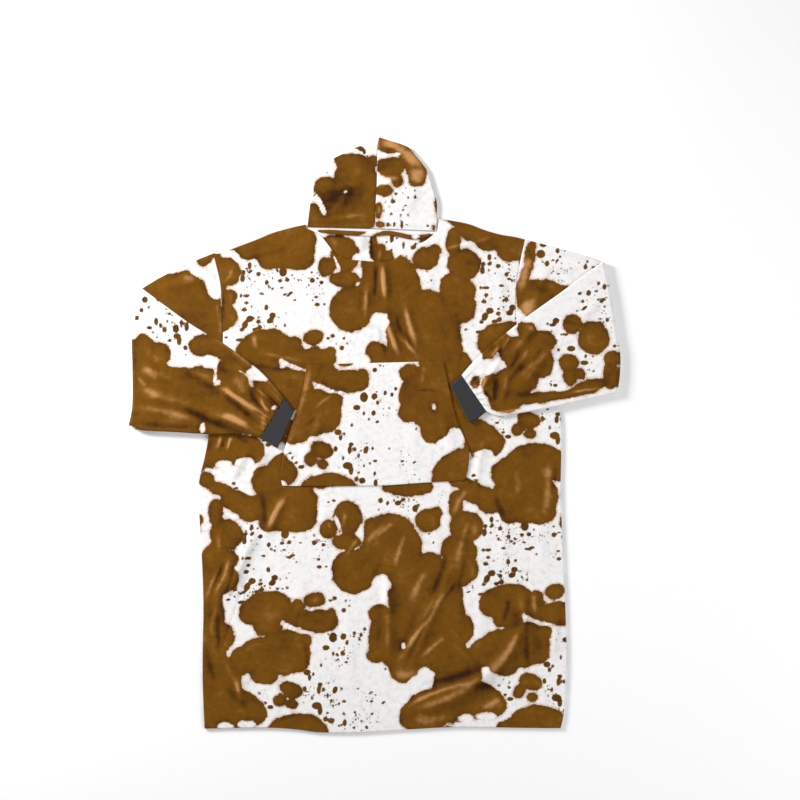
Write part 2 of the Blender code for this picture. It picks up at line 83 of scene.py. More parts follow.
# Sleeve rails
LEFT_ARM_TOP = [(-436, 416), (-477, 397), (-520, 375)]
LEFT_ARM_UNDER = [(-450, 33), (-520, 27)]
LEFT_FOLD = [(-566, 352), (-570, 325), (-576, 266), (-582, 226), (-581, 165), (-581, 74),
             (-590, 22)]
LEFT_FOREARM_TOP = [(-443, 268), (-362, 219), (-288, 165), (-251, 130)]
LEFT_FOREARM_UNDER = [(-561, 12), (-477, 7), (-396, 2), (-322, 1)]
LEFT_CUFF_SEAM = [(-216, 88), (-246, 41), (-275, -7)]
LEFT_CUFF_END = [(-193, 57), (-213, 13), (-233, -32)]
RIGHT_ARM_TOP = [(415, 455), (475, 438), (520, 425)]
RIGHT_ARM_UNDER = [(480, 93), (530, 97)]
RIGHT_FOLD = [(552, 414), (556, 391), (567, 336), (579, 260), (588.2, 202), (588.2, 150),
              (582, 100)]
RIGHT_FOREARM_TOP = [(493, 377), (446, 342), (345, 269), (248, 187)]
RIGHT_FOREARM_UNDER = [(480, 79), (420, 65), (345, 52), (296, 45)]
RIGHT_CUFF_SEAM = [(208, 144), (237, 101), (268, 56)]
RIGHT_CUFF_END = [(181, 118), (205, 72), (229, 27)]

# Hood and neck
LEFT_HOOD_RIM = [(-162, 499), (1, 495)]
RIGHT_HOOD_RIM = [(148, 489), (1, 495)]
HOOD_SEAM = [(1, 495), (2, 548), (5, 610), (6, 678), (11, 714.1)]
LEFT_CROWN = [(1, 709.5), (11, 713.8)]
RIGHT_CROWN = [(22, 710), (11, 713.8)]
LEFT_HOOD_SIDE = [(-158, 530), (-155, 553), (-150, 584), (-147, 612), (-143, 631), (-117, 652),
                  (-92, 667), (-37, 693)]
RIGHT_HOOD_SIDE = [(149, 530), (149, 558), (144, 576), (137, 600), (127, 631), (113, 652),
                   (97, 671), (77, 692)]
BAND_PATH = [(-136, 489.5), (-90, 486), (-34, 483), (0, 482), (31, 484.5), (60, 480), (83, 475),
             (110, 475.5), (136, 481)]
BAND_HALF_WIDTH = 5.5
BAND_END_HALF_WIDTH = 3.0
BAND_HALF_HEIGHT = 2.5

# Pocket outline
POCKET_TOP = [(-164, 168), (-80, 171), (0, 173), (80, 175), (165, 177)]
POCKET_BOTTOM = [(-222, -118), (-205, -122), (-32, -122), (22, -121), (122, -114), (205, -109),
                 (218, -104)]
POCKET_LEFT = [(-222, -118), (-226, -95), (-219, -48), (-207, -2), (-185, 67), (-171, 117),
               (-164, 168)]
POCKET_RIGHT = [(218, -104), (224, -78), (226, -36), (212, -1), (194, 44), (177, 117), (165, 177)]

# Folds: where each soft ridge starts, bends and ends, its half width and its height
FRONT_FOLDS = [
    ((17, 418), (23, 367), (29, 315), 11, 6.0),
    ((-21, 352), (-24, 322), (-26, 290), 9, 3.5),
    ((24, 300), (41, 236), (58, 184), 11, 5.0),
    ((70, 328), (85, 252), (104, 200), 11, 4.5),
    ((58, 246), (82, 216), (108, 186), 9, 3.0),
    ((170, 446), (238, 461), (304, 481), 9, 4.0),
    ((24, -330), (33, -430), (30, -545), 15, 6.0),
    ((157, -365), (104, -462), (56, -560), 14, 6.0),
    ((187, -300), (140, -430), (78, -566), 13, 4.5),
    ((60, -660), (250, -640), (352, -460), 18, 8.0),
    ((-283, -212), (-318, -305), (-368, -400), 15, 7.0),
    ((-346, -290), (-352, -335), (-360, -380), 12, 5.0),
    ((-372, -360), (-383, -410), (-380, -460), 12, 4.0),
    ((-318, -560), (-330, -612), (-322, -662), 14, 4.0),
    ((-300, -30), (-326, -66), (-346, -110), 11, 4.0),
    ((-258, -30), (-276, -66), (-300, -112), 11, 4.0),
    ((-222, -146), (-244, -196), (-262, -250), 14, 5.0),
    ((262, -10), (238, -70), (240, -140), 11, 4.5),
    ((344, -366), (362, -455), (376, -550), 16, 6.0),
    ((424, -430), (432, -480), (428, -530), 12, 4.0),
]
LEFT_SLEEVE_FOLDS = [
    ((-560, 205), (-440, 150), (-332, 112), 20, 4.0),
    ((-372, 124), (-318, 82), (-268, 36), 12, 5.0),
    ((-560, 165), (-520, 148), (-478, 132), 16, 4.5),
    ((-560, 110), (-470, 82), (-392, 60), 18, 4.0),
    ((-392, 52), (-336, 36), (-286, 12), 13, 5.0),
    ((-330, 172), (-302, 130), (-286, 96), 12, 4.5),
    ((-290, 120), (-262, 92), (-238, 62), 8, 4.0),
]
RIGHT_SLEEVE_FOLDS = [
    ((446, 226), (382, 180), (352, 110), 14, 5.0),
    ((394, 280), (352, 226), (318, 184), 13, 4.5),
    ((320, 236), (292, 206), (268, 178), 11, 4.0),
    ((318, 146), (310, 110), (300, 74), 10, 4.5),
    ((300, 180), (276, 142), (252, 108), 9, 5.0),
    ((262, 152), (250, 136), (236, 122), 8, 4.0),
    ((540, 324), (512, 300), (486, 276), 12, 3.0),
]
LEFT_ARM_FOLDS = [
    ((-520, 350), (-470, 366), (-410, 384), 16, 3.0),
    ((-540, 320), (-480, 300), (-410, 300), 18, 2.5),
]
RIGHT_ARM_FOLDS = [
    ((372, 300), (398, 350), (404, 410), 16, 3.0),
    ((520, 405), (470, 412), (420, 420), 14, 2.5),
]
LEFT_HOOD_FOLDS = [
    ((-130, 600), (-80, 590), (-30, 605), 16, 3.0),
    ((-110, 530), (-70, 560), (-60, 620), 15, 3.0),
]
RIGHT_HOOD_FOLDS = [
    ((14, 602), (46, 606), (72, 626), 10, 4.0),
    ((60, 530), (90, 560), (96, 610), 15, 3.0),
]
POCKET_FOLDS = [
    ((-182, -70), (-150, -20), (-130, 60), 16, 3.0),
    ((196, -60), (170, -10), (150, 60), 16, 3.0),
    ((60, 150), (64, 110), (60, 60), 14, 2.5),
]

# Print repeat of the body: its two steps, and how far the pocket and the back are cut from it
REPEAT = np.array([(574.8, 19.2), (-4.8, 628.8)])
POCKET_SHIFT = (79, -53)
BACK_SHIFT = (190, 260)

# Finer creases of the front and pocket, with troughs below nought, and what shows inside the neck
FRONT_CREASES = [
    ((-330, 420), (-280, 436), (-220, 452), 8, 1.6),
    ((-345, 330), (-330, 250), (-338, 170), 16, 2.0),
    ((-180, 400), (-150, 330), (-160, 250), 22, 1.6),
    ((300, 400), (292, 330), (306, 250), 16, 2.0),
    ((170, 300), (190, 240), (186, 190), 14, 1.8),
    ((-60, -420), (-72, -520), (-60, -640), 20, 1.8),
    ((-190, -330), (-176, -430), (-190, -540), 18, 1.8),
    ((252, -330), (262, -430), (240, -520), 16, 2.2),
    ((130, -180), (150, -230), (146, -290), 12, 1.6),
    ((-120, -160), (-128, -220), (-116, -290), 14, 1.6),
    ((300, -180), (312, -250), (300, -330), 14, 2.0),
    ((390, -160), (402, -240), (396, -330), 14, 1.8),
    ((-240, -600), (-236, -650), (-242, -690), 12, 1.6),
    ((110, -610), (104, -660), (110, -700), 12, 1.8),
    ((400, -600), (404, -650), (398, -690), 11, 1.6),
    ((6, -350), (10, -440), (6, -540), 9, -1.0),
    ((132, -360), (84, -462), (40, -560), 8, -1.0),
]
POCKET_CREASES = [
    ((-60, -90), (-40, -20), (-56, 60), 20, 1.2),
    ((96, -90), (84, -30), (96, 30), 16, 1.2),
]
NAPE_FOLDS = [
    ((-7, 474), (-7, 452), (-5, 432), 3.5, 3.0),
    ((-30, 474), (-31, 462), (-27, 446), 4.0, 2.0),
]

# Gathers into the cuffs: share across the sleeve, half width, share of the forearm, and height
LEFT_GATHERS = [
    (0.10, 0.030, 0.16, 1.6), (0.24, 0.034, 0.24, 2.4), (0.40, 0.032, 0.15, 1.8),
    (0.53, 0.030, 0.22, 2.2), (0.68, 0.034, 0.18, 1.8), (0.80, 0.028, 0.13, 1.6),
    (0.91, 0.026, 0.16, 1.4),
]
RIGHT_GATHERS = [
    (0.09, 0.028, 0.14, 1.6), (0.22, 0.032, 0.20, 2.2), (0.36, 0.030, 0.16, 1.8),
    (0.50, 0.034, 0.24, 2.4), (0.64, 0.028, 0.14, 1.8), (0.77, 0.032, 0.20, 2.0),
    (0.90, 0.026, 0.15, 1.4),
]

# Steps across each layer of a tube, and the ribs of a cuff
SLEEVE_STEPS = 76
CUFF_STEPS = 176
RIBS = 22
RIB_DEPTH = 0.35

# Rows and columns of the grids, and the lengths that they are spread over
PANEL_ACROSS = 880
PANEL_UP = 1200
ARM_ROWS, ARM_LENGTH = 34, 180
FOREARM_ROWS, FOREARM_LENGTH = 78, 330
TURN_ROWS = 14
CUFF_ROWS = 12
HOOD_ROWS, HOOD_LENGTH = 46, 215
HOOD_COLUMNS, HOOD_WIDTH = 34, 150
BAND_COLUMNS = 90
BAND_STEPS = 24
UNDERARM_SHARE = 0.646

# Rounding of a tube's side edge, and the most of its width that the rounding takes
QUARTER_TURN = np.radians([0, 18, 36, 54, 72, 90])
MOST_ROUNDING = 0.12

# Rounding of a panel towards its sides and ends, and the place that stays flat under the pocket
SIDE_SQUARENESS = 10
END_SQUARENESS = 14
POCKET_MIDDLE = (0, 27)
POCKET_REACH = (250, 175)
CLEAR_FROM = 0.92
CLEAR_RATE = 8
POCKET_GAPE = 0.8
ARMHOLE_CLEARANCE = 0.1

# Stroke of a fold: its samples, and how low and how long its tips are
STROKE_POINTS = 17
TIP_HEIGHT = 0.15
TIP_SHARE = 0.3

# How far neighbouring ovals run together, how speckled places fade out, and past any oval
PATCH_BLEND = 7.0
SPOT_BLEND = 1.5
SPECKLE_FADE = 30
FAR_AWAY = 1e3

# Painted shading: a fold and a gather of full strength, painted highlight on the crest, painted shade
# at the foot, and the relief that the shading strokes raise
FULL_FOLD = 6.0
FULL_GATHER = 2.4
CREST_PAINTED_HIGHLIGHT = 0.22
FOOT_PAINTED_SHADE = 0.3
SHADING_STROKE_RELIEF = 3.0

# Half widths of a crest's painted highlight, and of the outer and inner side of the painted shade at
# its feet, as shares of the fold's own
CREST_SHARE = 0.5
FOOT_OUTER, FOOT_INNER = 1.7, 0.85
GATHER_FOOT_OUTER = 1.5

# What shows inside the neck: the back above this height, and this far either side of the middle
NAPE_BOTTOM = 400
NAPE_HALF_WIDTH = 170

# Print of the neck band, and how far the print of the hidden layers is shifted
BAND_PATCHES = [(-90, 487, 70, 16), (85, 478, 88, 16)]
BAND_BARE = [(98, 476, 9, 7, 20)]
# Level of the painted shading on the neck band, even all along it
BAND_SHADING_LEVEL = 0.05
HIDDEN_SHIFT = (210, 130)

# Print: ovals of the patches, bare places and speckled places. Each row has the middle across and
# up, the half sizes across and up, and the turn in degrees where there is one.
BODY_PATCHES = [
    (-404, -108, 19, 20), (-369, -131, 31, 18, -15), (-334, -159, 37, 27, -20), (-299, -178, 31, 31),
    (-381, -186, 18, 35), (-355, -239, 41, 37), (-381, -295, 35, 37), (-373, -342, 45, 41),
    (-340, -344, 14, 23), (-344, -299, 18, 21), (-392, -405, 29, 51), (-383, -451, 25, 59),
    (-357, -485, 20, 33), (-388, -530, 33, 59), (-400, -381, 20, 39), (-373, -596, 55, 70),
    (-340, -654, 66, 47), (-299, -666, 41, 35), (-385, -674, 35, 35), (-260, -416, 64, 41, 10),
    (-301, -428, 24, 28), (-186, -412, 16, 20), (-143, -394, 25, 19, 10), (-143, -446, 55, 29, -5),
    (-189, -438, 29, 28), (-104, -436, 16, 20), (-256, -459, 37, 23), (-221, -522, 66, 55),
    (-275, -533, 51, 47), (-318, -541, 30, 35), (-264, -572, 35, 25), (-182, -533, 28, 35),
    (-170, -494, 20, 20), (-197, -485, 35, 18), (-201, -611, 29, 20, -15), (-228, -635, 16, 16),
    (-198, -646, 15, 11), (-189, -85, 74, 47), (-260, -112, 35, 39), (-213, -167, 78, 64),
    (-178, -206, 38, 28), (-254, -209, 23, 23), (-135, -114, 23, 16), (-105, -117, 20, 7),
    (-111, -225, 22, 23), (-65, -198, 35, 41), (-68, -256, 36, 20), (-51, -327, 53, 55),
    (-22, -303, 31, 39), (41, -264, 68, 74), (-8, -223, 20, 24), (33, -208, 33, 21), (6, -276, 35, 59),
    (88, -276, 28, 43), (80, -381, 48, 101), (127, -350, 51, 70), (29, -483, 44, 62),
    (10, -428, 27, 23), (6, -526, 25, 20), (76, -518, 66, 51), (68, -565, 33, 31), (127, -459, 59, 98),
    (150, -405, 43, 117), (154, -502, 43, 70), (80, -124, 62, 24), (127, -206, 31, 28),
    (150, -186, 14, 14), (135, -654, 76, 45, 20), (115, -686, 55, 27), (162, -611, 23, 55),
]
BODY_BARE = [
    (-201, -461, 24, 5, -25), (-166, -472, 24, 4, -12), (-139, -415, 24, 3, 12), (-87, -215, 4, 23, 22),
    (16, -358, 24, 19), (68, -506, 5, 8), (99, -582, 39, 6, 35), (-357, -699, 20, 10),
    (-307, -695, 23, 12), (-341, -195, 13, 9),
]
BODY_SPECKLES = [
    (-267, -249, 66, 43), (-182, -264, 78, 43), (-264, -342, 66, 43), (-314, -377, 39, 23),
    (-80, -498, 66, 59), (-127, -627, 55, 59), (-41, -682, 86, 35), (56, -167, 59, 29),
    (-76, -405, 35, 23), (-408, -170, 16, 20), (-119, -151, 43, 20), (131, -256, 20, 23),
    (-267, -623, 35, 31), (-10, -627, 23, 31), (-135, -291, 35, 27), (96, -186, 23, 16),
    (-174, -588, 20, 23),
]
LEFT_FOREARM_PATCHES = [
    (-554, 194, 31, 48), (-515, 192, 26, 29), (-539, 113, 58, 82), (-467, 98, 82, 65),
    (-419, 146, 29, 19), (-400, 139, 22, 22), (-347, 70, 86, 53), (-419, 36, 173, 41),
    (-271, 48, 67, 53), (-256, 94, 43, 34), (-419, 214, 26, 26), (-379, 209, 43, 22, -30),
    (-331, 178, 43, 19, -35), (-355, 154, 26, 29), (-333, 118, 34, 34), (-256, 113, 38, 22, -30),
    (-590, 341, 14, 12),
]
LEFT_FOREARM_BARE = [
    (-382, 150, 5, 32), (-280, 144, 29, 14, -15), (-412, 18, 6, 13), (-242, 66, 7, 4, 40),
]
LEFT_FOREARM_SPECKLES = [
    (-539, 300, 53, 72), (-477, 264, 48, 53), (-472, 216, 38, 43), (-280, 144, 24, 12),
]
LEFT_ARM_PATCHES = [
    (-480, 340, 104, 48, 20), (-424, 312, 56, 60), (-386, 240, 29, 82), (-539, 348, 48, 29, 20),
    (-412, 422, 29, 17, 24), (-480, 290, 90, 50),
]
LEFT_ARM_BARE = [
    (-458, 406, 31, 12, 14), (-417, 389, 34, 14, -28), (-386, 353, 17, 31, 18), (-376, 406, 14, 24, 20),
]
RIGHT_ARM_PATCHES = [
    (373, 430, 14, 38, -8), (358, 372, 12, 43, -12), (346, 336, 7, 34), (387, 319, 41, 43),
    (416, 350, 26, 22), (385, 353, 22, 22), (437, 343, 17, 17), (464, 346, 19, 12, -20),
    (483, 334, 17, 12), (471, 324, 12, 7),
]
RIGHT_ARM_SPECKLES = [
    (445, 415, 86, 34, -12), (505, 391, 43, 34), (473, 360, 48, 29),
]
RIGHT_FOREARM_PATCHES = [
    (363, 252, 24, 19), (399, 223, 36, 29), (358, 194, 60, 43), (398, 173, 32, 36), (339, 130, 53, 36),
    (313, 89, 43, 36), (382, 88, 72, 14, 8), (301, 223, 26, 19, 40), (274, 194, 19, 13, 40),
    (241, 132, 12, 19), (274, 120, 18, 29), (473, 266, 23, 24), (524, 233, 38, 41), (464, 173, 25, 21),
    (467, 140, 16, 23), (493, 146, 13, 13), (568, 185, 21, 19), (565, 142, 20, 31),
    (512, 115, 43, 18, 15), (469, 98, 34, 10, 12),
]
RIGHT_FOREARM_BARE = [
    (269, 163, 41, 19, 10), (224, 149, 12, 22), (413, 62, 53, 6, 9), (500, 80, 29, 6, 9),
]
RIGHT_FOREARM_SPECKLES = [
    (445, 252, 43, 62), (445, 199, 34, 38), (521, 312, 48, 48), (555, 240, 24, 72), (433, 120, 24, 19),
    (517, 161, 24, 34), (550, 343, 29, 48),
]
LEFT_HOOD_PATCHES = [
    (-45, 600, 53, 74), (-83, 660, 13, 12), (-117, 588, 31, 31), (-93, 535, 67, 34), (-21, 547, 29, 53),
    (-146, 528, 19, 29), (-5, 653, 14, 17), (-83, 502, 82, 14), (-59, 648, 29, 24),
]
LEFT_HOOD_BARE = [
    (-131, 554, 7, 31, 27), (-71, 583, 7, 4, 15),
]
LEFT_HOOD_SPECKLES = [
    (-55, 679, 43, 17, 10),
]
RIGHT_HOOD_PATCHES = [
    (39, 696, 41, 22, -8), (97, 646, 26, 46, 22), (101, 610, 21, 16), (37, 643, 34, 27),
    (53, 610, 16, 16), (22, 586, 21, 16), (10, 538, 10, 20), (13, 505, 12, 7), (148, 550, 4, 21),
    (142, 496, 6, 8), (70, 684, 29, 24, -30),
]
RIGHT_HOOD_BARE = [
    (39, 671, 26, 5, 8), (22, 606, 19, 5, 6),
]
RIGHT_HOOD_SPECKLES = [
    (56, 564, 34, 38), (51, 511, 38, 19),
]
NAPE_PATCHES = [
    (-93, 454, 48, 26), (-62, 439, 26, 22), (10, 434, 19, 26), (27, 427, 19, 17), (-2, 451, 10, 29),
    (133, 468, 29, 14),
]
NAPE_BARE = [
    (-33, 425, 22, 12),
]
NAPE_SPECKLES = [
    (73, 463, 58, 24),
]

# Single dark spots, in the same columns as the print
BODY_SPOTS = [
    (-295, -222, 5.2, 8.3), (-281, -224, 3.2, 3.6), (-310, -238, 6.0, 5.6), (-312, -253, 6.0, 9.9),
    (-294, -237, 6.7, 4.4, 40), (-296, -253, 3.6, 3.6), (-274, -243, 6.4, 5.6), (-282, -261, 3.2, 3.2),
    (-215, -237, 9.9, 12.2), (-193, -246, 3.6, 3.6), (-222, -259, 6.0, 4.8), (-205, -257, 6.0, 5.6),
    (-178, -258, 3.6, 3.6), (-254, -263, 5.2, 6.4), (-266, -290, 6.7, 3.6), (-217, -276, 6.0, 3.2),
    (-207, -293, 11.4, 3.2, -15), (-187, -305, 4.4, 3.2), (-146, -239, 4.0, 3.2),
    (-145, -258, 6.7, 6.4), (-132, -253, 3.6, 3.2), (-123, -263, 5.6, 4.8), (-135, -298, 5.2, 3.6),
    (-133, -316, 6.7, 4.8), (-116, -315, 4.0, 3.2), (-303, -295, 9.1, 4.0), (-316, -295, 3.6, 5.2),
    (-303, -312, 6.0, 4.4), (-308, -328, 7.1, 5.2), (-290, -321, 3.2, 3.6), (-255, -323, 5.2, 7.5),
    (-294, -350, 9.5, 7.9), (-306, -364, 7.5, 10.6, -20), (-274, -357, 6.7, 4.8),
    (-273, -346, 4.4, 3.2), (-240, -342, 8.3, 7.5), (-246, -355, 9.1, 6.7, 15), (-226, -346, 3.6, 3.2),
    (-283, -376, 7.5, 4.8), (-271, -371, 6.4, 6.7), (-314, -377, 6.0, 4.4), (-210, -366, 3.6, 5.2),
    (-232, -368, 3.6, 3.2), (-318, -401, 11.4, 4.4), (-248, -274, 5.2, 3.6), (-240, -278, 3.6, 4.4),
    (-197, -288, 6.7, 3.2), (-100, -485, 9.9, 12.2), (-75, -483, 7.5, 8.3, -30), (-67, -498, 4.4, 6.0),
    (-49, -475, 4.4, 6.0), (-33, -479, 4.4, 6.0), (-24, -465, 4.4, 5.2), (-117, -510, 9.1, 6.7),
    (-100, -524, 3.6, 6.0), (-77, -523, 5.6, 7.1), (-88, -538, 4.0, 3.6), (-68, -544, 5.2, 3.6),
    (-162, -569, 9.1, 7.5), (-156, -582, 4.4, 7.5), (-147, -573, 3.6, 4.4), (-168, -609, 5.2, 7.5),
    (-129, -552, 3.6, 6.0), (-134, -611, 5.2, 10.6), (-131, -598, 6.7, 5.2), (-122, -610, 4.4, 6.0),
    (-95, -611, 6.0, 9.9, -20), (-79, -608, 3.6, 4.8), (-40, -608, 3.6, 3.6), (-150, -630, 3.6, 6.7),
    (-113, -625, 3.6, 7.5), (-73, -638, 6.0, 4.0), (-86, -644, 3.6, 4.0), (-100, -649, 3.6, 4.0),
    (-139, -649, 12.2, 9.1), (-131, -660, 6.0, 12.2), (-113, -666, 4.0, 4.0), (-74, -668, 3.6, 6.0),
    (-118, -681, 6.0, 6.7), (-104, -685, 8.3, 7.5), (-72, -690, 5.2, 9.1), (21, -641, 6.0, 3.2, 30),
    (-8, -638, 5.2, 3.6), (-262, -642, 5.2, 4.0), (-250, -652, 8.3, 5.2), (-277, -619, 5.2, 3.6),
    (14, -157, 6.0, 7.5), (31, -163, 4.4, 6.0), (56, -163, 8.3, 6.0), (68, -155, 6.7, 5.2),
    (97, -176, 7.5, 9.1), (47, -157, 3.6, 4.4), (9, -179, 3.2, 4.4), (81, -201, 3.6, 3.6),
    (105, -168, 6.0, 3.6), (-96, -391, 6.0, 5.2), (-107, -397, 5.2, 3.6), (-69, -397, 4.4, 3.6),
    (-74, -420, 6.0, 6.0), (-61, -409, 3.6, 3.2), (-338, -116, 6.0, 4.4), (-332, -128, 6.7, 3.6),
    (-143, -168, 5.2, 3.6), (-98, -157, 5.2, 3.6), (-111, -161, 3.6, 3.2), (25, -561, 3.2, 4.4),
    (131, -237, 3.6, 3.6), (140, -258, 3.6, 3.6), (-351, -395, 6.0, 3.2),
]
LEFT_SLEEVE_SPOTS = [
    (-550, 324, 7.2, 7.9), (-541, 306, 3.5, 4.2), (-558, 299, 5.2, 6.2), (-571, 281, 7.2, 7.2),
    (-569, 306, 3.9, 8.6), (-523, 272, 4.9, 9.9), (-512, 262, 4.5, 5.9), (-496, 272, 3.5, 4.2),
    (-539, 257, 7.2, 4.5), (-503, 252, 5.9, 6.9), (-531, 246, 3.5, 3.5), (-476, 255, 7.9, 10.6),
    (-462, 269, 5.2, 7.2), (-450, 259, 5.2, 11.9), (-473, 237, 9.3, 7.2), (-468, 226, 5.9, 11.9),
    (-453, 209, 5.2, 6.6), (-520, 234, 3.2, 3.2), (-458, 405, 3.2, 3.2), (-295, -51, 7.2, 3.9),
]
RIGHT_SLEEVE_SPOTS = [
    (398, 434, 11.2, 10.5), (404, 455, 8.5, 5.2), (438, 441, 5.2, 6.2), (444, 427, 4.2, 3.8),
    (457, 442, 3.5, 3.2), (413, 411, 5.8, 7.8), (428, 419, 3.8, 4.5), (401, 416, 3.8, 3.2),
    (509, 416, 3.8, 4.2), (505, 403, 5.2, 7.2), (490, 412, 3.2, 3.2), (524, 402, 6.5, 3.2),
    (469, 399, 3.2, 4.5), (440, 386, 4.5, 3.2), (536, 363, 4.5, 5.2), (550, 355, 5.2, 7.8),
    (532, 345, 4.5, 3.5), (512, 340, 6.5, 7.2), (491, 339, 5.8, 4.5), (498, 320, 5.2, 4.8),
    (544, 322, 7.8, 5.2, 35), (502, 304, 8.5, 3.8, 40), (485, 297, 3.8, 3.2), (434, 274, 8.5, 7.2),
    (427, 264, 9.2, 3.8), (454, 241, 11.8, 3.2), (434, 226, 5.8, 3.2), (470, 207, 10.5, 7.2),
    (440, 204, 4.5, 4.5), (540, 278, 5.8, 3.2), (557, 276, 4.5, 5.8), (574, 213, 5.2, 4.2),
    (502, 173, 10.5, 5.8), (505, 189, 3.8, 5.2), (524, 153, 3.8, 3.2), (514, 156, 3.2, 3.2),
    (432, 119, 5.8, 4.5), (422, 248, 3.8, 3.2), (414, 266, 5.2, 3.2), (465, 91, 5.8, 4.5),
    (485, 97, 4.5, 3.2),
]
RIGHT_HOOD_SPOTS = [
    (43, 586, 4.1, 3.6), (51, 578, 4.7, 4.1), (42, 571, 2.8, 2.8), (44, 560, 6.7, 5.2),
    (26, 559, 3.6, 2.8), (75, 592, 2.8, 3.1), (96, 586, 2.8, 4.1), (80, 569, 3.4, 4.1),
    (97, 570, 4.1, 4.9), (74, 549, 4.7, 2.8), (68, 539, 3.6, 2.8), (40, 530, 3.9, 4.1),
    (80, 527, 3.6, 3.6), (62, 526, 2.8, 6.2), (21, 537, 2.8, 4.1), (32, 504, 4.9, 6.2),
    (47, 505, 3.1, 6.2), (65, 504, 3.6, 12.0), (127, 502, 4.1, 4.1), (68, 602, 2.8, 2.8),
]
LEFT_HOOD_SPOTS = [
    (-33, 686, 9.4, 6.2, -25), (-25, 679, 4.1, 6.7), (-37, 695, 6.7, 3.1, 30), (-56, 672, 2.8, 3.4),
    (-18, 666, 3.1, 5.2), (-36, 666, 2.6, 2.6), (-114, 628, 2.8, 2.6), (-46, 688, 4.1, 3.1),
]
NAPE_SPOTS = [
    (41, 470, 4.7, 9.4), (53, 473, 4.1, 3.6), (39, 479, 8.3, 4.1), (39, 443, 4.7, 4.9),
    (69, 459, 4.7, 5.2), (70, 448, 3.6, 4.1), (95, 457, 4.1, 6.7), (103, 457, 3.1, 4.7),
]

# Painted shading: strokes of painted highlight and painted shade along the folds, with the columns of
# the folds, light above nought and dark below; the same strokes also raise a low relief
LEFT_FOREARM_SHADING_STROKES = [
    ((-571, 145), (-561, 131), (-544, 111), 5.4, 0.25),
    ((-554, 165), (-537, 145), (-514, 131), 9.4, 0.3), ((-561, 114), (-534, 98), (-510, 87), 8.8, 0.22),
    ((-537, 192), (-514, 165), (-470, 145), 8.8, 0.2), ((-574, 67), (-500, 61), (-423, 34), 9.4, 0.35),
    ((-376, 119), (-322, 81), (-254, 49), 6.7, 0.55), ((-369, 52), (-332, 44), (-298, 15), 8.1, 0.6),
    ((-335, 148), (-315, 118), (-312, 91), 15.5, 0.4), ((-273, 96), (-271, 67), (-249, 52), 4.4, 0.55),
    ((-436, 264), (-322, 199), (-219, 93), 3.0, 0.35), ((-268, 54), (-261, 34), (-271, 7), 7.4, 0.4),
    ((-470, 162), (-423, 135), (-376, 104), 9.4, -0.3), ((-467, 67), (-409, 40), (-322, 5), 8.8, -0.5),
    ((-369, 101), (-322, 67), (-285, 34), 7.4, -0.4), ((-298, 118), (-295, 81), (-258, 54), 6.1, -0.45),
    ((-261, 98), (-248, 74), (-228, 71), 6.7, -0.4),
    ((-362, 202), (-329, 175), (-308, 158), 7.4, -0.25),
    ((-581, 30), (-510, 18), (-409, 20), 6.7, -0.3), ((-376, 165), (-349, 145), (-335, 155), 8.8, -0.2),
    ((-571, 232), (-574, 165), (-574, 81), 4.7, -0.15),
]
LEFT_ARM_SHADING_STROKES = [
    ((-537, 343), (-470, 310), (-393, 259), 37.0, -0.12),
    ((-467, 384), (-443, 380), (-416, 367), 8.8, 0.25),
    ((-379, 327), (-371, 279), (-369, 236), 4.0, 0.3),
    ((-551, 354), (-510, 377), (-477, 391), 3.4, 0.15),
]
RIGHT_FOREARM_SHADING_STROKES = [
    ((325, 241), (317, 221), (303, 201), 4.3, 0.5), ((298, 214), (290, 198), (278, 184), 5.0, 0.6),
    ((390, 184), (364, 158), (344, 134), 5.3, 0.3), ((367, 208), (357, 184), (344, 171), 4.3, 0.3),
    ((354, 268), (370, 261), (387, 244), 4.7, 0.25), ((267, 149), (260, 121), (253, 97), 4.0, 0.7),
    ((235, 121), (245, 114), (253, 107), 3.0, 0.6), ((270, 57), (307, 49), (357, 66), 3.7, 0.5),
    ((447, 96), (507, 113), (574, 111), 2.7, 0.5), ((223, 171), (267, 204), (347, 268), 3.0, 0.3),
    ((303, 231), (300, 208), (293, 181), 4.7, -0.3), ((364, 178), (337, 148), (317, 124), 6.0, -0.3),
    ((292, 141), (287, 107), (287, 74), 5.0, -0.5), ((240, 144), (242, 131), (244, 121), 3.3, -0.35),
    ((260, 106), (273, 97), (281, 77), 4.3, -0.45), ((347, 204), (337, 174), (323, 158), 4.7, -0.3),
    ((397, 214), (390, 188), (377, 168), 5.3, -0.2), ((317, 101), (357, 94), (410, 97), 8.7, -0.15),
    ((454, 274), (467, 264), (487, 268), 4.7, -0.2), ((540, 261), (524, 234), (504, 228), 10.0, 0.12),
    ((550, 114), (557, 134), (567, 158), 8.7, -0.15),
]
RIGHT_ARM_SHADING_STROKES = [
    ((364, 435), (357, 385), (347, 334), 17.4, 0.55), ((357, 324), (370, 304), (357, 281), 20.0, 0.6),
    ((377, 355), (397, 353), (424, 344), 8.0, -0.3), ((417, 358), (427, 355), (434, 351), 6.0, 0.2),
    ((367, 448), (374, 438), (377, 418), 4.7, -0.4),
]
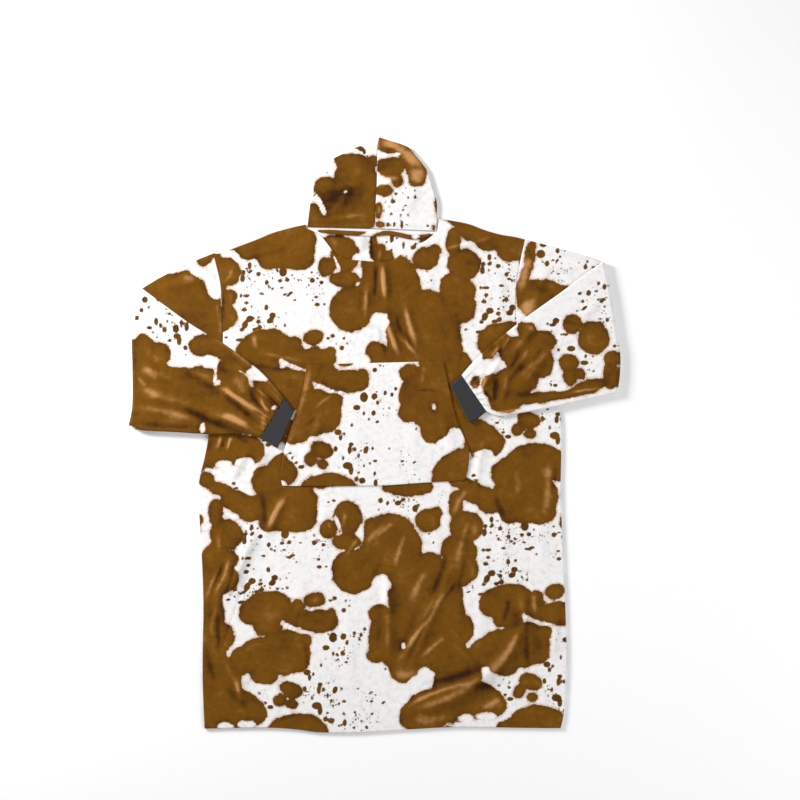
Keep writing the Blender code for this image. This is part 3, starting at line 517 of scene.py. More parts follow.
BODY_SHADING_STROKES = [
    ((53, -206), (23, -223), (-11, -253), 6.4, 0.35), ((74, -236), (61, -261), (46, -326), 5.6, 0.35),
    ((229, -201), (207, -240), (194, -334), 6.9, 0.3),
    ((220, -124), (203, -163), (186, -189), 6.9, 0.35),
    ((194, -343), (160, -399), (44, -553), 6.0, 0.5), ((173, -480), (143, -501), (104, -540), 5.6, 0.4),
    ((126, -317), (104, -360), (83, -403), 8.6, 0.3), ((44, -570), (74, -581), (113, -570), 9.4, 0.35),
    ((66, -656), (139, -609), (254, -587), 6.0, 0.6),
    ((254, -587), (314, -566), (357, -437), 7.7, 0.45),
    ((379, -373), (381, -403), (385, -429), 6.4, 0.55),
    ((426, -459), (430, -501), (421, -544), 8.6, 0.5),
    ((254, -658), (280, -643), (306, -634), 7.7, 0.4),
    ((263, -660), (259, -673), (256, -681), 6.0, 0.3),
    ((87, -681), (143, -692), (211, -669), 9.4, 0.25),
    ((417, -64), (417, -124), (406, -201), 8.6, 0.35), ((340, -73), (344, -116), (344, -154), 6.9, 0.2),
    ((383, -596), (409, -604), (434, -600), 8.6, 0.3),
    ((237, -206), (241, -240), (229, -261), 8.6, 0.2),
    ((229, -300), (237, -326), (241, -356), 7.7, 0.25),
    ((203, -339), (177, -386), (74, -493), 5.6, -0.35),
    ((361, -424), (366, -480), (366, -561), 6.4, -0.5),
    ((323, -386), (319, -420), (306, -454), 6.4, -0.4),
    ((117, -596), (169, -589), (263, -557), 7.3, -0.35),
    ((229, -596), (263, -604), (297, -613), 9.4, -0.3),
    ((289, -146), (297, -171), (314, -201), 6.9, -0.35),
    ((434, -69), (434, -103), (426, -137), 5.6, -0.4),
    ((173, -283), (160, -334), (130, -394), 6.9, -0.3),
    ((220, -283), (211, -334), (194, -386), 6.0, -0.25), ((14, -300), (6, -326), (-7, -334), 6.0, -0.2),
    ((-351, -291), (-353, -334), (-388, -386), 4.7, 0.5),
    ((-373, -313), (-392, -360), (-405, -399), 4.3, 0.4),
    ((-379, -416), (-396, -446), (-388, -489), 3.9, 0.3),
    ((-212, -146), (-238, -184), (-259, -227), 5.6, 0.6),
    ((-336, -579), (-330, -604), (-323, -621), 4.7, 0.5),
    ((-358, -544), (-349, -570), (-332, -596), 4.7, 0.25),
    ((-66, -184), (-75, -201), (-79, -231), 5.6, 0.3),
    ((-38, -244), (-58, -274), (-71, -291), 3.9, 0.4), ((28, -214), (2, -231), (-23, -261), 5.6, 0.35),
    ((-113, -208), (-107, -219), (-105, -225), 3.4, 0.4),
    ((-388, -124), (-396, -135), (-401, -141), 4.3, 0.25),
    ((-375, -231), (-373, -253), (-371, -283), 4.7, 0.25),
    ((-135, -386), (-143, -399), (-148, -407), 6.9, 0.2),
    ((-272, -129), (-263, -180), (-263, -219), 7.3, -0.4),
    ((-362, -300), (-371, -334), (-401, -386), 3.4, -0.35),
    ((-338, -317), (-341, -351), (-366, -390), 4.7, -0.45),
    ((-375, -424), (-379, -467), (-371, -531), 4.7, -0.5),
    ((-401, -489), (-405, -553), (-375, -596), 6.9, -0.3),
    ((-182, -416), (-184, -437), (-186, -463), 3.9, -0.25),
    ((-11, -291), (-32, -326), (-58, -317), 8.6, -0.15),
    ((-169, -480), (-165, -514), (-161, -557), 4.3, -0.2),
    ((-255, -386), (-281, -403), (-302, -424), 9.4, -0.12),
    ((-353, -596), (-341, -630), (-302, -656), 7.7, -0.25),
    ((-302, -334), (-328, -386), (-379, -544), 2.1, -0.35),
    ((19, 411), (19, 361), (24, 320), 5.4, 0.65), ((24, 279), (36, 237), (61, 188), 5.4, 0.65),
    ((-18, 353), (-20, 320), (-22, 287), 4.1, 0.5), ((69, 312), (81, 266), (98, 221), 6.2, 0.5),
    ((57, 241), (77, 217), (102, 192), 4.1, 0.6), ((-290, 246), (-290, 229), (-282, 200), 6.2, 0.4),
    ((-278, 198), (-228, 188), (-175, 177), 4.1, 0.35),
    ((-340, 403), (-344, 382), (-361, 365), 4.5, 0.3),
    ((-350, 345), (-340, 320), (-348, 295), 3.7, 0.2), ((-371, -2), (-373, -19), (-379, -35), 3.3, 0.7),
    ((-344, -2), (-348, -19), (-355, -35), 3.3, 0.7), ((3, 411), (1, 370), (-1, 324), 4.5, -0.5),
    ((48, 295), (61, 250), (77, 213), 3.7, -0.45), ((13, 266), (15, 221), (32, 179), 4.5, -0.35),
    ((65, 262), (81, 229), (98, 196), 3.3, -0.35), ((-365, 349), (-363, 308), (-361, 270), 4.5, -0.3),
    ((-319, 177), (-270, 155), (-171, 159), 6.2, -0.3),
    ((-212, 130), (-195, 113), (-179, 130), 12.4, -0.2),
    ((-30, 353), (-34, 320), (-36, 291), 4.1, -0.25), ((-359, -2), (-361, -19), (-367, -35), 3.7, -0.4),
    ((-332, -2), (-319, -11), (-295, -23), 5.0, -0.3),
    ((-390, -6), (-394, -23), (-398, -40), 5.0, -0.3), ((141, 433), (173, 449), (215, 458), 3.2, 0.3),
    ((215, 420), (231, 404), (244, 417), 6.4, -0.2), ((128, 372), (144, 359), (160, 372), 9.6, -0.1),
]
POCKET_SHADING_STROKES = [
    ((-154, 163), (-166, 101), (-187, 31), 6.2, 0.35), ((-195, 10), (-208, -27), (-220, -64), 4.1, 0.3),
    ((-146, 60), (-121, 89), (-88, 101), 3.7, 0.3), ((115, 171), (119, 146), (112, 122), 5.8, 0.3),
    ((-104, -93), (-55, -89), (-14, -106), 6.6, 0.25), ((-88, 159), (-47, 159), (-5, 163), 3.7, 0.2),
    ((-171, 130), (-179, 89), (-191, 47), 2.1, -0.4), ((-138, 47), (-154, 27), (-171, 22), 5.8, -0.25),
    ((-104, 10), (-92, -11), (-88, -6), 7.4, -0.15), ((94, 105), (127, 109), (152, 105), 2.5, -0.3),
    ((-129, 146), (-113, 122), (-121, 89), 8.3, -0.12),
]
# The hoods' broadest strokes are a painted shade over the left half and a painted highlight over the
# right half
LEFT_HOOD_SHADING_STROKES = [
    ((-144, 589), (-86, 569), (-6, 576), 39.0, -0.32), ((-42, 652), (-45, 621), (-47, 584), 10.9, 0.3),
    ((-115, 521), (-73, 523), (-16, 530), 4.2, 0.25), ((-92, 610), (-68, 600), (-58, 569), 7.8, -0.12),
]
RIGHT_HOOD_SHADING_STROKES = [
    ((10, 707), (62, 694), (122, 631), 11.4, 0.65), ((104, 644), (106, 621), (96, 600), 18.7, 0.6),
    ((7, 626), (31, 610), (59, 621), 4.7, 0.6), ((7, 647), (31, 642), (57, 652), 11.4, -0.25),
    ((23, 684), (39, 686), (52, 682), 4.7, -0.25), ((5, 701), (7, 691), (13, 683), 4.2, 0.4),
    ((57, 602), (53, 597), (50, 595), 4.7, 0.4), ((2, 595), (20, 600), (36, 602), 3.6, 0.3),
    ((2, 576), (20, 582), (39, 587), 4.2, -0.1), ((10, 553), (13, 540), (10, 527), 6.2, 0.35),
    ((5, 506), (15, 505), (23, 506), 5.2, 0.3),
]
NAPE_SHADING_STROKES = [
    ((-102, 476), (-99, 465), (-92, 452), 4.4, 0.4), ((10, 449), (10, 433), (10, 418), 2.9, 0.5),
    ((-26, 476), (-25, 459), (-24, 442), 4.7, -1.1), ((-10, 478), (-10, 449), (-10, 418), 1.3, -0.8),
    ((0, 454), (0, 436), (-2, 418), 2.6, -0.25), ((-120, 480), (-79, 479), (-37, 479), 2.3, -0.8),
    ((-37, 475), (-37, 465), (-34, 454), 1.3, -0.5),
]


def curve(points):
    """Catmull-Rom curve through the points, sampled at 400 equal lengths."""
    knots = np.asarray(points, float)
    padded = np.vstack([2 * knots[0] - knots[1], knots, 2 * knots[-1] - knots[-2]])
    before, here, there, after = (padded[k:len(padded) - 3 + k, None] for k in range(4))
    t = np.linspace(0, 1, 40, endpoint=False)[None, :, None]
    fine = 0.5 * (2 * here + (there - before) * t
                  + (2 * before - 5 * here + 4 * there - after) * t ** 2
                  + (3 * here - before - 3 * there + after) * t ** 3)
    fine = np.vstack([fine.reshape(-1, knots.shape[1]), knots[-1:]])
    travelled = travelled_length(fine)
    even = np.linspace(0, travelled[-1], 400)
    return np.stack([np.interp(even, travelled, column) for column in fine.T], -1)


def travelled_length(line):
    """Length travelled at each point of a line."""
    return np.r_[0, np.cumsum(np.linalg.norm(np.diff(line, axis=0), axis=1))]


def edge(*stretches):
    """An edge of a cut piece: the lines joined, with the share of the length at each point."""
    line = np.vstack(stretches)
    travelled = travelled_length(line)
    return np.column_stack([line, travelled / travelled[-1]])


def on_edge(line, share):
    """Points of an edge at shares of its length."""
    return np.stack([np.interp(share, line[:, 2], line[:, k]) for k in (0, 1)], -1)


def edge_length(line):
    """Length of an edge in millimetres."""
    return travelled_length(line[:, :2])[-1]


def coons(start, end, first_rail, last_rail, across, forward):
    """Coons patch: edges blended forward, plus rails blended across, less the blend of corners."""
    a = across[..., None]
    f = forward[..., None]
    edges = (1 - f) * on_edge(start, across) + f * on_edge(end, across)
    rails = (1 - a) * on_edge(first_rail, forward) + a * on_edge(last_rail, forward)
    corners = ((1 - f) * ((1 - a) * start[0, :2] + a * start[-1, :2])
               + f * ((1 - a) * end[0, :2] + a * end[-1, :2]))
    return edges + rails - corners


def smooth_step(value):
    """Rises softly from 0 to 1 as the value does."""
    held = np.clip(value, 0, 1)
    return held * held * (3 - 2 * held)


def strokes(plan, rows):
    """Bells across bent lines, fading at both ends: the largest plus the smallest at each point.

    A bell is exp(-(d / half width)^2), with d the distance to the nearest piece of the line.
    """
    highest = np.zeros(plan.shape[:-1])
    lowest = np.zeros(plan.shape[:-1])
    t = np.linspace(0, 1, STROKE_POINTS)
    for start, middle, end, half_width, height in rows:
        line = (np.outer((1 - t) ** 2, start) + np.outer(2 * t * (1 - t), middle)
                + np.outer(t ** 2, end))
        reach = 3 * half_width
        near = ((plan > line.min(0) - reach) & (plan < line.max(0) + reach)).all(-1)
        if not near.any():
            continue
        step = np.diff(line, axis=0)
        away = plan[near][:, None] - line[:-1]
        along = np.clip((away * step).sum(-1) / (step ** 2).sum(-1), 0, 1)
        distance = np.linalg.norm(away - along[..., None] * step, axis=-1)
        first = distance.argmin(-1)
        each = np.arange(len(first))
        nearest = (first + along[each, first]) / len(step)
        ends = smooth_step(nearest / TIP_SHARE) * smooth_step((1 - nearest) / TIP_SHARE)
        fade = TIP_HEIGHT + (1 - TIP_HEIGHT) * ends
        bell = height * fade * np.exp(-(distance[each, first] / half_width) ** 2)
        highest[near] = np.maximum(highest[near], bell)
        lowest[near] = np.minimum(lowest[near], bell)
    return highest + lowest


def shares(count, length, corners=()):
    """Shares of a length: close together at both ends, where a hemmed edge rounds, and even between."""
    turn = np.array([0, 0.3, 0.9, 1.5]) / length
    middle = np.linspace(4 / length, 1 - 4 / length, count)
    return np.unique(np.r_[turn, middle, corners, 1 - turn])


def grid_faces(ids):
    """Quads of a grid of vertex numbers."""
    return np.stack([ids[:-1, :-1], ids[:-1, 1:], ids[1:, 1:], ids[1:, :-1]], -1).reshape(-1, 4)


def add_mesh(name, points, faces, material, uv=None, fields=None):
    """Makes a smooth mesh object of points in millimetres, with its own cloth map and fields."""
    mesh = bpy.data.meshes.new(name)
    mesh.from_pydata((points * MM).tolist(), [], faces.tolist())
    mesh.shade_smooth()
    mesh.materials.append(material)
    if uv is not None:
        corners = np.zeros(len(mesh.loops), np.int32)
        mesh.loops.foreach_get("vertex_index", corners)
        layer = mesh.uv_layers.new(name="cloth")
        layer.uv.foreach_set("vector", (uv[corners] * MM).astype(np.float32).ravel())
    for field, values in (fields or {}).items():
        layer = mesh.attributes.new(field, "FLOAT", "POINT")
        layer.data.foreach_set("value", values.astype(np.float32).ravel())
    piece = bpy.data.objects.new(name, mesh)
    bpy.context.scene.collection.objects.link(piece)
    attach(piece, "root")
    return piece


def border_taper(grid, closed, radius):
    """Share of the thickness left at each point: a quarter circle from every open edge inwards."""
    def inwards(lengths):
        travelled = np.cumsum(lengths, axis=0)
        travelled = np.concatenate([np.zeros_like(travelled[:1]), travelled])
        return np.minimum(travelled, travelled[-1:] - travelled)

    distance = inwards(np.linalg.norm(np.diff(grid, axis=0), axis=-1))
    if not closed:
        sideways = inwards(np.linalg.norm(np.diff(grid, axis=1), axis=-1).T).T
        distance = np.minimum(distance, sideways)
    return np.sqrt(1 - (1 - np.clip(distance / radius, 0, 1)) ** 2)[..., None]


def cloth(name, outer, inner, closed, material, uv, fields, turned=False):
    """A sheet of cloth: outer and inner grids that meet in a rounded edge along every open border."""
    middle = (outer + inner) / 2
    taper = border_taper(middle, closed, CLOTH / 2)
    outer = middle + (outer - middle) * taper
    inner = middle + (inner - middle) * taper
    rows, columns = outer.shape[:2]
    outer_ids = np.arange(rows * columns).reshape(rows, columns)
    inside = np.zeros((rows, columns), bool)
    inside[1:-1] = True
    if not closed:
        inside[:, [0, -1]] = False
    inner_ids = outer_ids.copy()
    inner_ids[inside] = rows * columns + np.arange(inside.sum())
    if closed:
        outer_ids = np.hstack([outer_ids, outer_ids[:, :1]])
        inner_ids = np.hstack([inner_ids, inner_ids[:, :1]])
    outside = grid_faces(outer_ids)
    lining = grid_faces(inner_ids)[:, ::-1]
    faces = np.vstack([outside, lining])
    if turned:
        faces = faces[:, ::-1]
    points = np.vstack([outer.reshape(-1, 3), inner[inside]])
    maps = np.vstack([uv.reshape(-1, 2), uv[inside]])
    fields = {key: np.r_[values.ravel(), values[inside]] for key, values in fields.items()}
    return add_mesh(name, points, faces, material, maps, fields)


def oval_distance(points, rows, blend_over, steps=None):
    """Distance in millimetres to the nearest of the turned ovals, below nought inside one.

    With k0 = |p / r| and k1 = |p / r^2| for a point p seen from an oval's middle and its half
    sizes r, the distance is k0 (k0 - 1) / k1. Neighbours run together over the blend's width, and
    steps wrap the points round a repeat. A row without a turn stands upright.
    """
    nearest = np.full(points.shape[:-1], FAR_AWAY)
    for x, y, half_across, half_up, *turn in rows:
        away = points - (x, y)
        if steps is not None:
            away = away - np.round(away @ np.linalg.inv(steps)) @ steps
        angle = np.radians(sum(turn))
        c, s = np.cos(angle), np.sin(angle)
        local = np.stack([away[..., 0] * c + away[..., 1] * s,
                          away[..., 1] * c - away[..., 0] * s], -1)
        size = np.array([half_across, half_up], float)
        k0 = np.linalg.norm(local / size, axis=-1)
        k1 = np.linalg.norm(local / size ** 2, axis=-1) + 1e-6
        distance = k0 * (k0 - 1) / k1
        share = np.clip(0.5 + (distance - nearest) / (2 * blend_over), 0, 1)
        nearest = (distance * (1 - share) + nearest * share
                   - blend_over * share * (1 - share))
    return nearest


def cow_print(points, patches, bare, speckled, spots, steps=None):
    """Print of a piece: distances to its patches and spots, and how speckled its white is."""
    patch = oval_distance(points, patches, PATCH_BLEND, steps)
    patch = np.maximum(patch, -oval_distance(points, bare, PATCH_BLEND, steps))
    speckle = smooth_step(0.5 - oval_distance(points, speckled, PATCH_BLEND, steps)
                          / SPECKLE_FADE)
    return {"patch": patch, "speckle": speckle,
            "spot": oval_distance(points, spots, SPOT_BLEND, steps)}


def body_print(plan, shift=(0, 0)):
    """The print of a body piece, cut from the repeat at its own place."""
    return cow_print(plan - shift, BODY_PATCHES, BODY_BARE, BODY_SPECKLES, BODY_SPOTS, REPEAT)


def back_print(plan):
    """The print of the back: the shifted repeat, and what shows inside the neck."""
    inside_neck = cow_print(plan, NAPE_PATCHES, NAPE_BARE, NAPE_SPECKLES, NAPE_SPOTS)
    shown = (plan[..., 1] > NAPE_BOTTOM) & (np.abs(plan[..., 0]) < NAPE_HALF_WIDTH)
    return {key: np.where(shown, inside_neck[key], values)
            for key, values in body_print(plan, BACK_SHIFT).items()}


def pocket_print(plan):
    """The print of the pocket, cut from the repeat beside the front's."""
    return body_print(plan, POCKET_SHIFT)


def fold_painted_shading(plan, folds):
    """Painted shading on the folds: painted highlight along each crest, painted shade at its feet, and
    the other way in a trough.
    """
    def bells(width):
        return strokes(plan, [(*row[:3], row[3] * width, row[4] / FULL_FOLD) for row in folds])
    return CREST_PAINTED_HIGHLIGHT * bells(CREST_SHARE) - FOOT_PAINTED_SHADE * (bells(FOOT_OUTER) - bells(FOOT_INNER))


# Panels: one function of two shares, across the piece and up it, gives a point of its middle
def upright(side, armhole):
    """Side edge of a panel, with the underarm at the same share on the left and on the right."""
    line = np.vstack([curve(side), curve(armhole)[1:]])
    share = np.r_[np.linspace(0, UNDERARM_SHARE, 400), np.linspace(UNDERARM_SHARE, 1, 400)[1:]]
    return np.column_stack([line, share])


def panel(neck, across, forward):
    """Plan and loft of a body panel: a Coons patch between hem, top and both sides."""
    top = edge(curve(LEFT_SHOULDER), neck, curve(RIGHT_SHOULDER))
    plan = coons(edge(curve(HEM)), top, upright(LEFT_SIDE, LEFT_ARMHOLE),
                 upright(RIGHT_SIDE, RIGHT_ARMHOLE), across, forward)
    rise = 1 - np.abs(2 * across - 1) ** SIDE_SQUARENESS
    climb = 1 - np.abs(2 * forward - 1) ** END_SQUARENESS
    return plan, rise * climb


def pocket_clearance(plan):
    """0 over the pocket, where the front lies flat, and 1 away from it."""
    reach = np.abs(plan - POCKET_MIDDLE) / POCKET_REACH
    return smooth_step((reach.max(-1) - CLEAR_FROM) * CLEAR_RATE)


def front_surface(across, forward):
    """Middle of the front's cloth: base, loft and folds."""
    plan, loft = panel(curve(FRONT_NECKLINE), across, forward)
    folds = ((strokes(plan, FRONT_FOLDS + FRONT_CREASES) + SHADING_STROKE_RELIEF * strokes(plan, BODY_SHADING_STROKES))
             * pocket_clearance(plan))
    height = FRONT_BASE + CLOTH / 2 + BODY_LOFT * loft + folds
    return np.dstack([plan, height])


def back_surface(across, forward):
    """Middle of the back's cloth, flat but for what shows inside the neck."""
    nape = np.vstack([LEFT_NAPE, RIGHT_NAPE[1:]])
    plan, _ = panel(nape, across, forward)
    return np.dstack([plan, CLOTH / 2 + strokes(plan, NAPE_FOLDS)])


def pocket_surface(across, forward):
    """Middle of the pocket's cloth, which gapes a little at its slanted openings."""
    plan = coons(edge(curve(POCKET_BOTTOM)), edge(curve(POCKET_TOP)), edge(curve(POCKET_LEFT)),
                 edge(curve(POCKET_RIGHT)), across, forward)
    opening = smooth_step(forward / 0.3) * smooth_step((1 - forward) / 0.12)
    gape = POCKET_GAPE * opening * np.abs(2 * across - 1) ** 3
    folds = strokes(plan, POCKET_FOLDS + POCKET_CREASES) + SHADING_STROKE_RELIEF * strokes(plan, POCKET_SHADING_STROKES)
    height = FRONT_TOP + SEAM + CLOTH / 2 + gape + folds
    return np.dstack([plan, height])


def layers(middle, thickness=CLOTH):
    """Outer and inner grids, half a thickness above and below the middle."""
    lift = np.array([0, 0, thickness / 2])
    return middle + lift, middle - lift


def lay_panel(name, surface, columns, rows, corners, printed, folds, painted_shading):
    """Makes a flat panel of a surface of two shares and a print of its plan."""
    across, forward = np.meshgrid(shares(columns, PANEL_ACROSS, corners),
                                  shares(rows, PANEL_UP, [UNDERARM_SHARE]))
    middle = surface(across, forward)
    plan = middle[..., :2]
    outer, inner = layers(middle)
    fields = printed(plan)
    # Painted highlight and painted shade of the folds and of the shading strokes
    fields["painted_shading"] = fold_painted_shading(plan, folds) + strokes(plan, painted_shading)
    return cloth(name, outer, inner, False, plush, plan, fields)


def neck_corners(neck):
    """Shares of the top edge at which its neck starts and ends."""
    first, last = edge_length(edge(curve(LEFT_SHOULDER))), edge_length(edge(curve(RIGHT_SHOULDER)))
    whole = edge_length(edge(curve(LEFT_SHOULDER), neck, curve(RIGHT_SHOULDER)))
    start = np.linalg.norm(neck[0] - LEFT_SHOULDER[-1])
    end = np.linalg.norm(neck[-1] - RIGHT_SHOULDER[0])
    return [first / whole, (first + start) / whole, 1 - (last + end) / whole, 1 - last / whole]


# Tubes: rings round a flattened tube, at stations along it
def ring(lengths, half, steps):
    """Places round a flat tube: shares across it, and heights as shares of its half height.

    Both rounded edges are quarter circles of the half height, and the layers between are flat.
    """
    cap = np.minimum(half / lengths, MOST_ROUNDING)[:, None] * (1 - np.cos(QUARTER_TURN))
    middle = np.linspace(0, 1, steps + 1)[1:-1]
    middle = cap[:, -1:] + (1 - 2 * cap[:, -1:]) * middle
    upper = np.hstack([cap, middle, 1 - cap[:, ::-1]])
    height = np.r_[np.sin(QUARTER_TURN), np.ones(steps - 1), np.sin(QUARTER_TURN)[::-1]]
    share = np.hstack([upper, upper[:, -2:0:-1]])
    rise = np.r_[height, -height[-2:0:-1]]
    return share, np.broadcast_to(rise, share.shape)


def sleeve(name, side, armhole, arm_top, arm_under, fold_edge, forearm_top, forearm_under,
           cuff_seam, arm_folds, forearm_folds, gathers, arm_print, forearm_print, arm_painted_shading,
           forearm_painted_shading):
    """A sleeve: a flattened tube along the arm, round the turn and back along the forearm.

    At station t of a stretch, a point is its Coons patch, plus the station's normal times the
    half height, plus the folds on the layer that shows.
    """
    outward = np.array([side, 0.0])
    hole = edge(curve(armhole)[::-1] + outward * (SEAM + ARMHOLE_CLEARANCE))
    turn_line = edge(curve(fold_edge) - outward * (TURN_RADIUS + SLEEVE_HALF))
    seam_line = edge(curve(cuff_seam))
    rails = [(hole[0, :2], arm_top, turn_line[0, :2]), (hole[-1, :2], arm_under, turn_line[-1, :2]),
             (turn_line[0, :2], forearm_top, seam_line[0, :2]),
             (turn_line[-1, :2], forearm_under, seam_line[-1, :2])]
    arm_rails = [edge(curve([a, *b, c])) for a, b, c in rails[:2]]
    forearm_rails = [edge(curve([a, *b, c])) for a, b, c in rails[2:]]
    arm_share = shares(ARM_ROWS, ARM_LENGTH)
    forearm_share = shares(FOREARM_ROWS, FOREARM_LENGTH)[1:]
    angle = np.radians(np.linspace(0, 180, TURN_ROWS + 1)[1:])
    stretch = np.r_[np.zeros(len(arm_share)), np.ones(len(angle)), np.full(len(forearm_share), 2)]
    t = np.r_[arm_share, angle, forearm_share][:, None]
    is_arm, is_turn, is_forearm = (stretch[:, None] == k for k in range(3))
    hole_length, turn_length, seam_length = (edge_length(e) for e in (hole, turn_line, seam_line))
    lengths = np.where(is_arm, hole_length * (1 - t) + turn_length * t,
                       np.where(is_turn, turn_length, turn_length * (1 - t) + seam_length * t))
    half = np.where(is_arm, ARMHOLE_HALF + (SLEEVE_HALF - ARMHOLE_HALF) * smooth_step(t / 0.5),
                    np.where(is_turn, SLEEVE_HALF,
                             SLEEVE_HALF + (CUFF_HALF - SLEEVE_HALF) * smooth_step(t)))
    lean = np.where(is_arm, 0, np.where(is_turn, t, np.pi))
    middle = np.where(is_arm, half, TURN_CENTRE - TURN_RADIUS * np.cos(lean))
    middle = np.where(is_forearm, FOREARM_MIDDLE, middle)
    grids = []
    for inset in (0, CLOTH - SEAM):
        share, rise = ring(lengths[:, 0] - 2 * inset, half[:, 0] - inset, SLEEVE_STEPS)
        share = (inset + share * (lengths - 2 * inset)) / lengths
        station = np.broadcast_to(t, share.shape)
        plan = np.where(is_arm[..., None],
                        coons(hole, turn_line, *arm_rails, share, np.clip(station, 0, 1)),
                        coons(turn_line, seam_line, *forearm_rails, share, np.clip(station, 0, 1)))
        bend = on_edge(turn_line, share)
        plan = np.where(is_turn[..., None], bend, plan)
        reach = np.where(is_turn, TURN_RADIUS * np.sin(lean), 0)
        lift = rise * (half - inset)
        x = plan[..., 0] + side * (reach - np.sin(lean) * lift)
        z = middle + np.cos(lean) * lift
        shown = np.abs(rise)
        upper_arm = ((strokes(plan, arm_folds) + SHADING_STROKE_RELIEF * strokes(plan, arm_painted_shading))
                     * smooth_step((1 - t) / 0.2) * smooth_step(t / 0.1))
        forearm = ((strokes(plan, forearm_folds) + SHADING_STROKE_RELIEF * strokes(plan, forearm_painted_shading))
                   * smooth_step(t / 0.12) * (1 - 0.6 * smooth_step((t - 0.9) / 0.1))
                   + gather_height(share, t, gathers))
        z = z + np.where(is_arm & (rise > 0), upper_arm * shown, 0)
        z = z + np.where(is_forearm & (rise < 0), forearm * shown, 0)
        grids.append(np.dstack([x, plan[..., 1], z]))
    outer, inner = grids
    hidden = np.where(is_arm, rise < 0, rise > 0)
    maps = plan + hidden[..., None] * np.array(HIDDEN_SHIFT)
    on_arm = is_arm | (is_turn & (t < np.pi / 2))
    on_arm_print = cow_print(maps, *arm_print)
    fields = {key: np.where(on_arm, on_arm_print[key], values)
              for key, values in cow_print(maps, *forearm_print).items()}
    # Painted highlight and painted shade of the folds, strokes and gathers
    fields["painted_shading"] = np.where(on_arm, fold_painted_shading(plan, arm_folds) + strokes(plan, arm_painted_shading),
                             fold_painted_shading(plan, forearm_folds) + strokes(plan, forearm_painted_shading)
                             + gather_painted_shading(share, t, gathers) * is_forearm)
    return cloth(name, outer, inner, True, plush, maps, fields, turned=side > 0)


def gather_height(share, t, gathers):
    """Ridges that run back from the cuff: each a bell across its share of the tube, fading up it."""
    height = np.zeros(share.shape)
    for place, half_width, reach, rise in gathers:
        bell = np.exp(-((share - place) / half_width) ** 2)
        height = np.maximum(height, rise * bell * smooth_step(1 - (1 - t) / reach))
    return height


def gather_painted_shading(share, t, gathers):
    """Painted shading on the gathers: painted highlight along each crest and painted shade at its feet.
    """
    def bells(width):
        return gather_height(share, t, [(row[0], row[1] * width, row[2], row[3] / FULL_GATHER)
                                        for row in gathers])
    feet = bells(GATHER_FOOT_OUTER) - bells(FOOT_INNER)
    return CREST_PAINTED_HIGHLIGHT * bells(CREST_SHARE) - FOOT_PAINTED_SHADE * feet


def cuff(name, side, seam, end):
    """A rib knit cuff: a flattened tube whose half height swells by a rounded wave of ribs."""
    seam_line, end_line = edge(curve(seam)), edge(curve(end))
    drop = on_edge(end_line, np.array(0.5)) - on_edge(seam_line, np.array(0.5))
    start = seam_line + np.r_[drop / np.linalg.norm(drop) * SEAM, 0]
    t = shares(CUFF_ROWS, np.linalg.norm(drop))[:, None]
    grids = []
    for inset in (0, RIB_CLOTH):
        half = np.full(len(t), CUFF_HALF - inset)
        lengths = edge_length(start) * (1 - t[:, 0]) + edge_length(end_line) * t[:, 0]
        share, rise = ring(lengths - 2 * inset, half, CUFF_STEPS)
        share = (inset + share * (lengths[:, None] - 2 * inset)) / lengths[:, None]
        plan = (1 - t)[..., None] * on_edge(start, share) + t[..., None] * on_edge(end_line, share)
        ribs = 0 if inset else RIB_DEPTH * np.cos(2 * np.pi * RIBS * share) * np.abs(rise)
        lift = rise * half[:, None] + np.sign(rise) * ribs
        grids.append(np.dstack([plan, FOREARM_MIDDLE + lift]))
    outer, inner = grids
    uv = np.dstack([share * lengths[:, None], np.broadcast_to(t * np.linalg.norm(drop), share.shape)])
    return cloth(name, outer, inner, True, rib_knit, uv, {}, turned=side > 0)


def hood_half(name, side, rim, crown, side_rail, folds, print_rows, painted_shading):
    """Half a hood: back layer, side fold and front layer, from rim to crown, as an open section."""
    seam = curve(HOOD_SEAM) + np.array([side, 0]) * SEAM / 2
    rim_line = curve(rim)
    rim_line = rim_line + (seam[0] - rim_line[-1]) * np.linspace(0, 1, 400)[:, None]
    crown_line = curve(crown)
    crown_line = crown_line + (seam[-1] - crown_line[-1])
    side_line = edge(curve([rim_line[0], *side_rail, crown_line[0]]))
    rim_edge, crown_edge, seam_edge = edge(rim_line), edge(crown_line), edge(seam)
    t = shares(HOOD_ROWS, HOOD_LENGTH)[:, None]
    puff = np.sin(np.pi * np.clip(t, 0, 1)) ** 0.6
    full_half = ARMHOLE_HALF + (HOOD_HALF - ARMHOLE_HALF) * puff
    lengths = edge_length(rim_edge) * (1 - t) + edge_length(crown_edge) * t
    grids = []
    for inset in (0, CLOTH - SEAM):
        half = full_half - inset
        cap = np.minimum(half / (2 * lengths), MOST_ROUNDING) * (1 - np.cos(QUARTER_TURN))
        start = np.minimum(inset / lengths, 0.1)
        flat = shares(HOOD_COLUMNS, HOOD_WIDTH)[1:]
        near = start + cap
        across = np.hstack([near, near[:, -1:] + (1 - near[:, -1:]) * flat])
        profile = np.r_[np.sin(QUARTER_TURN), np.ones(len(flat))]
        station = np.broadcast_to(t, across.shape)
        plan = coons(rim_edge, crown_edge, side_line, seam_edge, across, station)
        ridge = (strokes(plan, folds) + SHADING_STROKE_RELIEF * strokes(plan, painted_shading)) * profile * puff
        lower = np.dstack([plan, full_half - profile * half])
        upper = np.dstack([plan, full_half + profile * half + ridge])
        grids.append(np.hstack([lower[:, ::-1], upper[:, 1:]]))
    outer, inner = grids
    maps = outer[..., :2].copy()
    maps[:, :across.shape[1] - 1] += HIDDEN_SHIFT
    fields = cow_print(maps, *print_rows)
    plan = outer[..., :2]
    # Painted highlight and painted shade of the folds and of the shading strokes
    fields["painted_shading"] = fold_painted_shading(plan, folds) + strokes(plan, painted_shading)
    return cloth(name, outer, inner, False, plush, maps, fields, turned=side > 0)


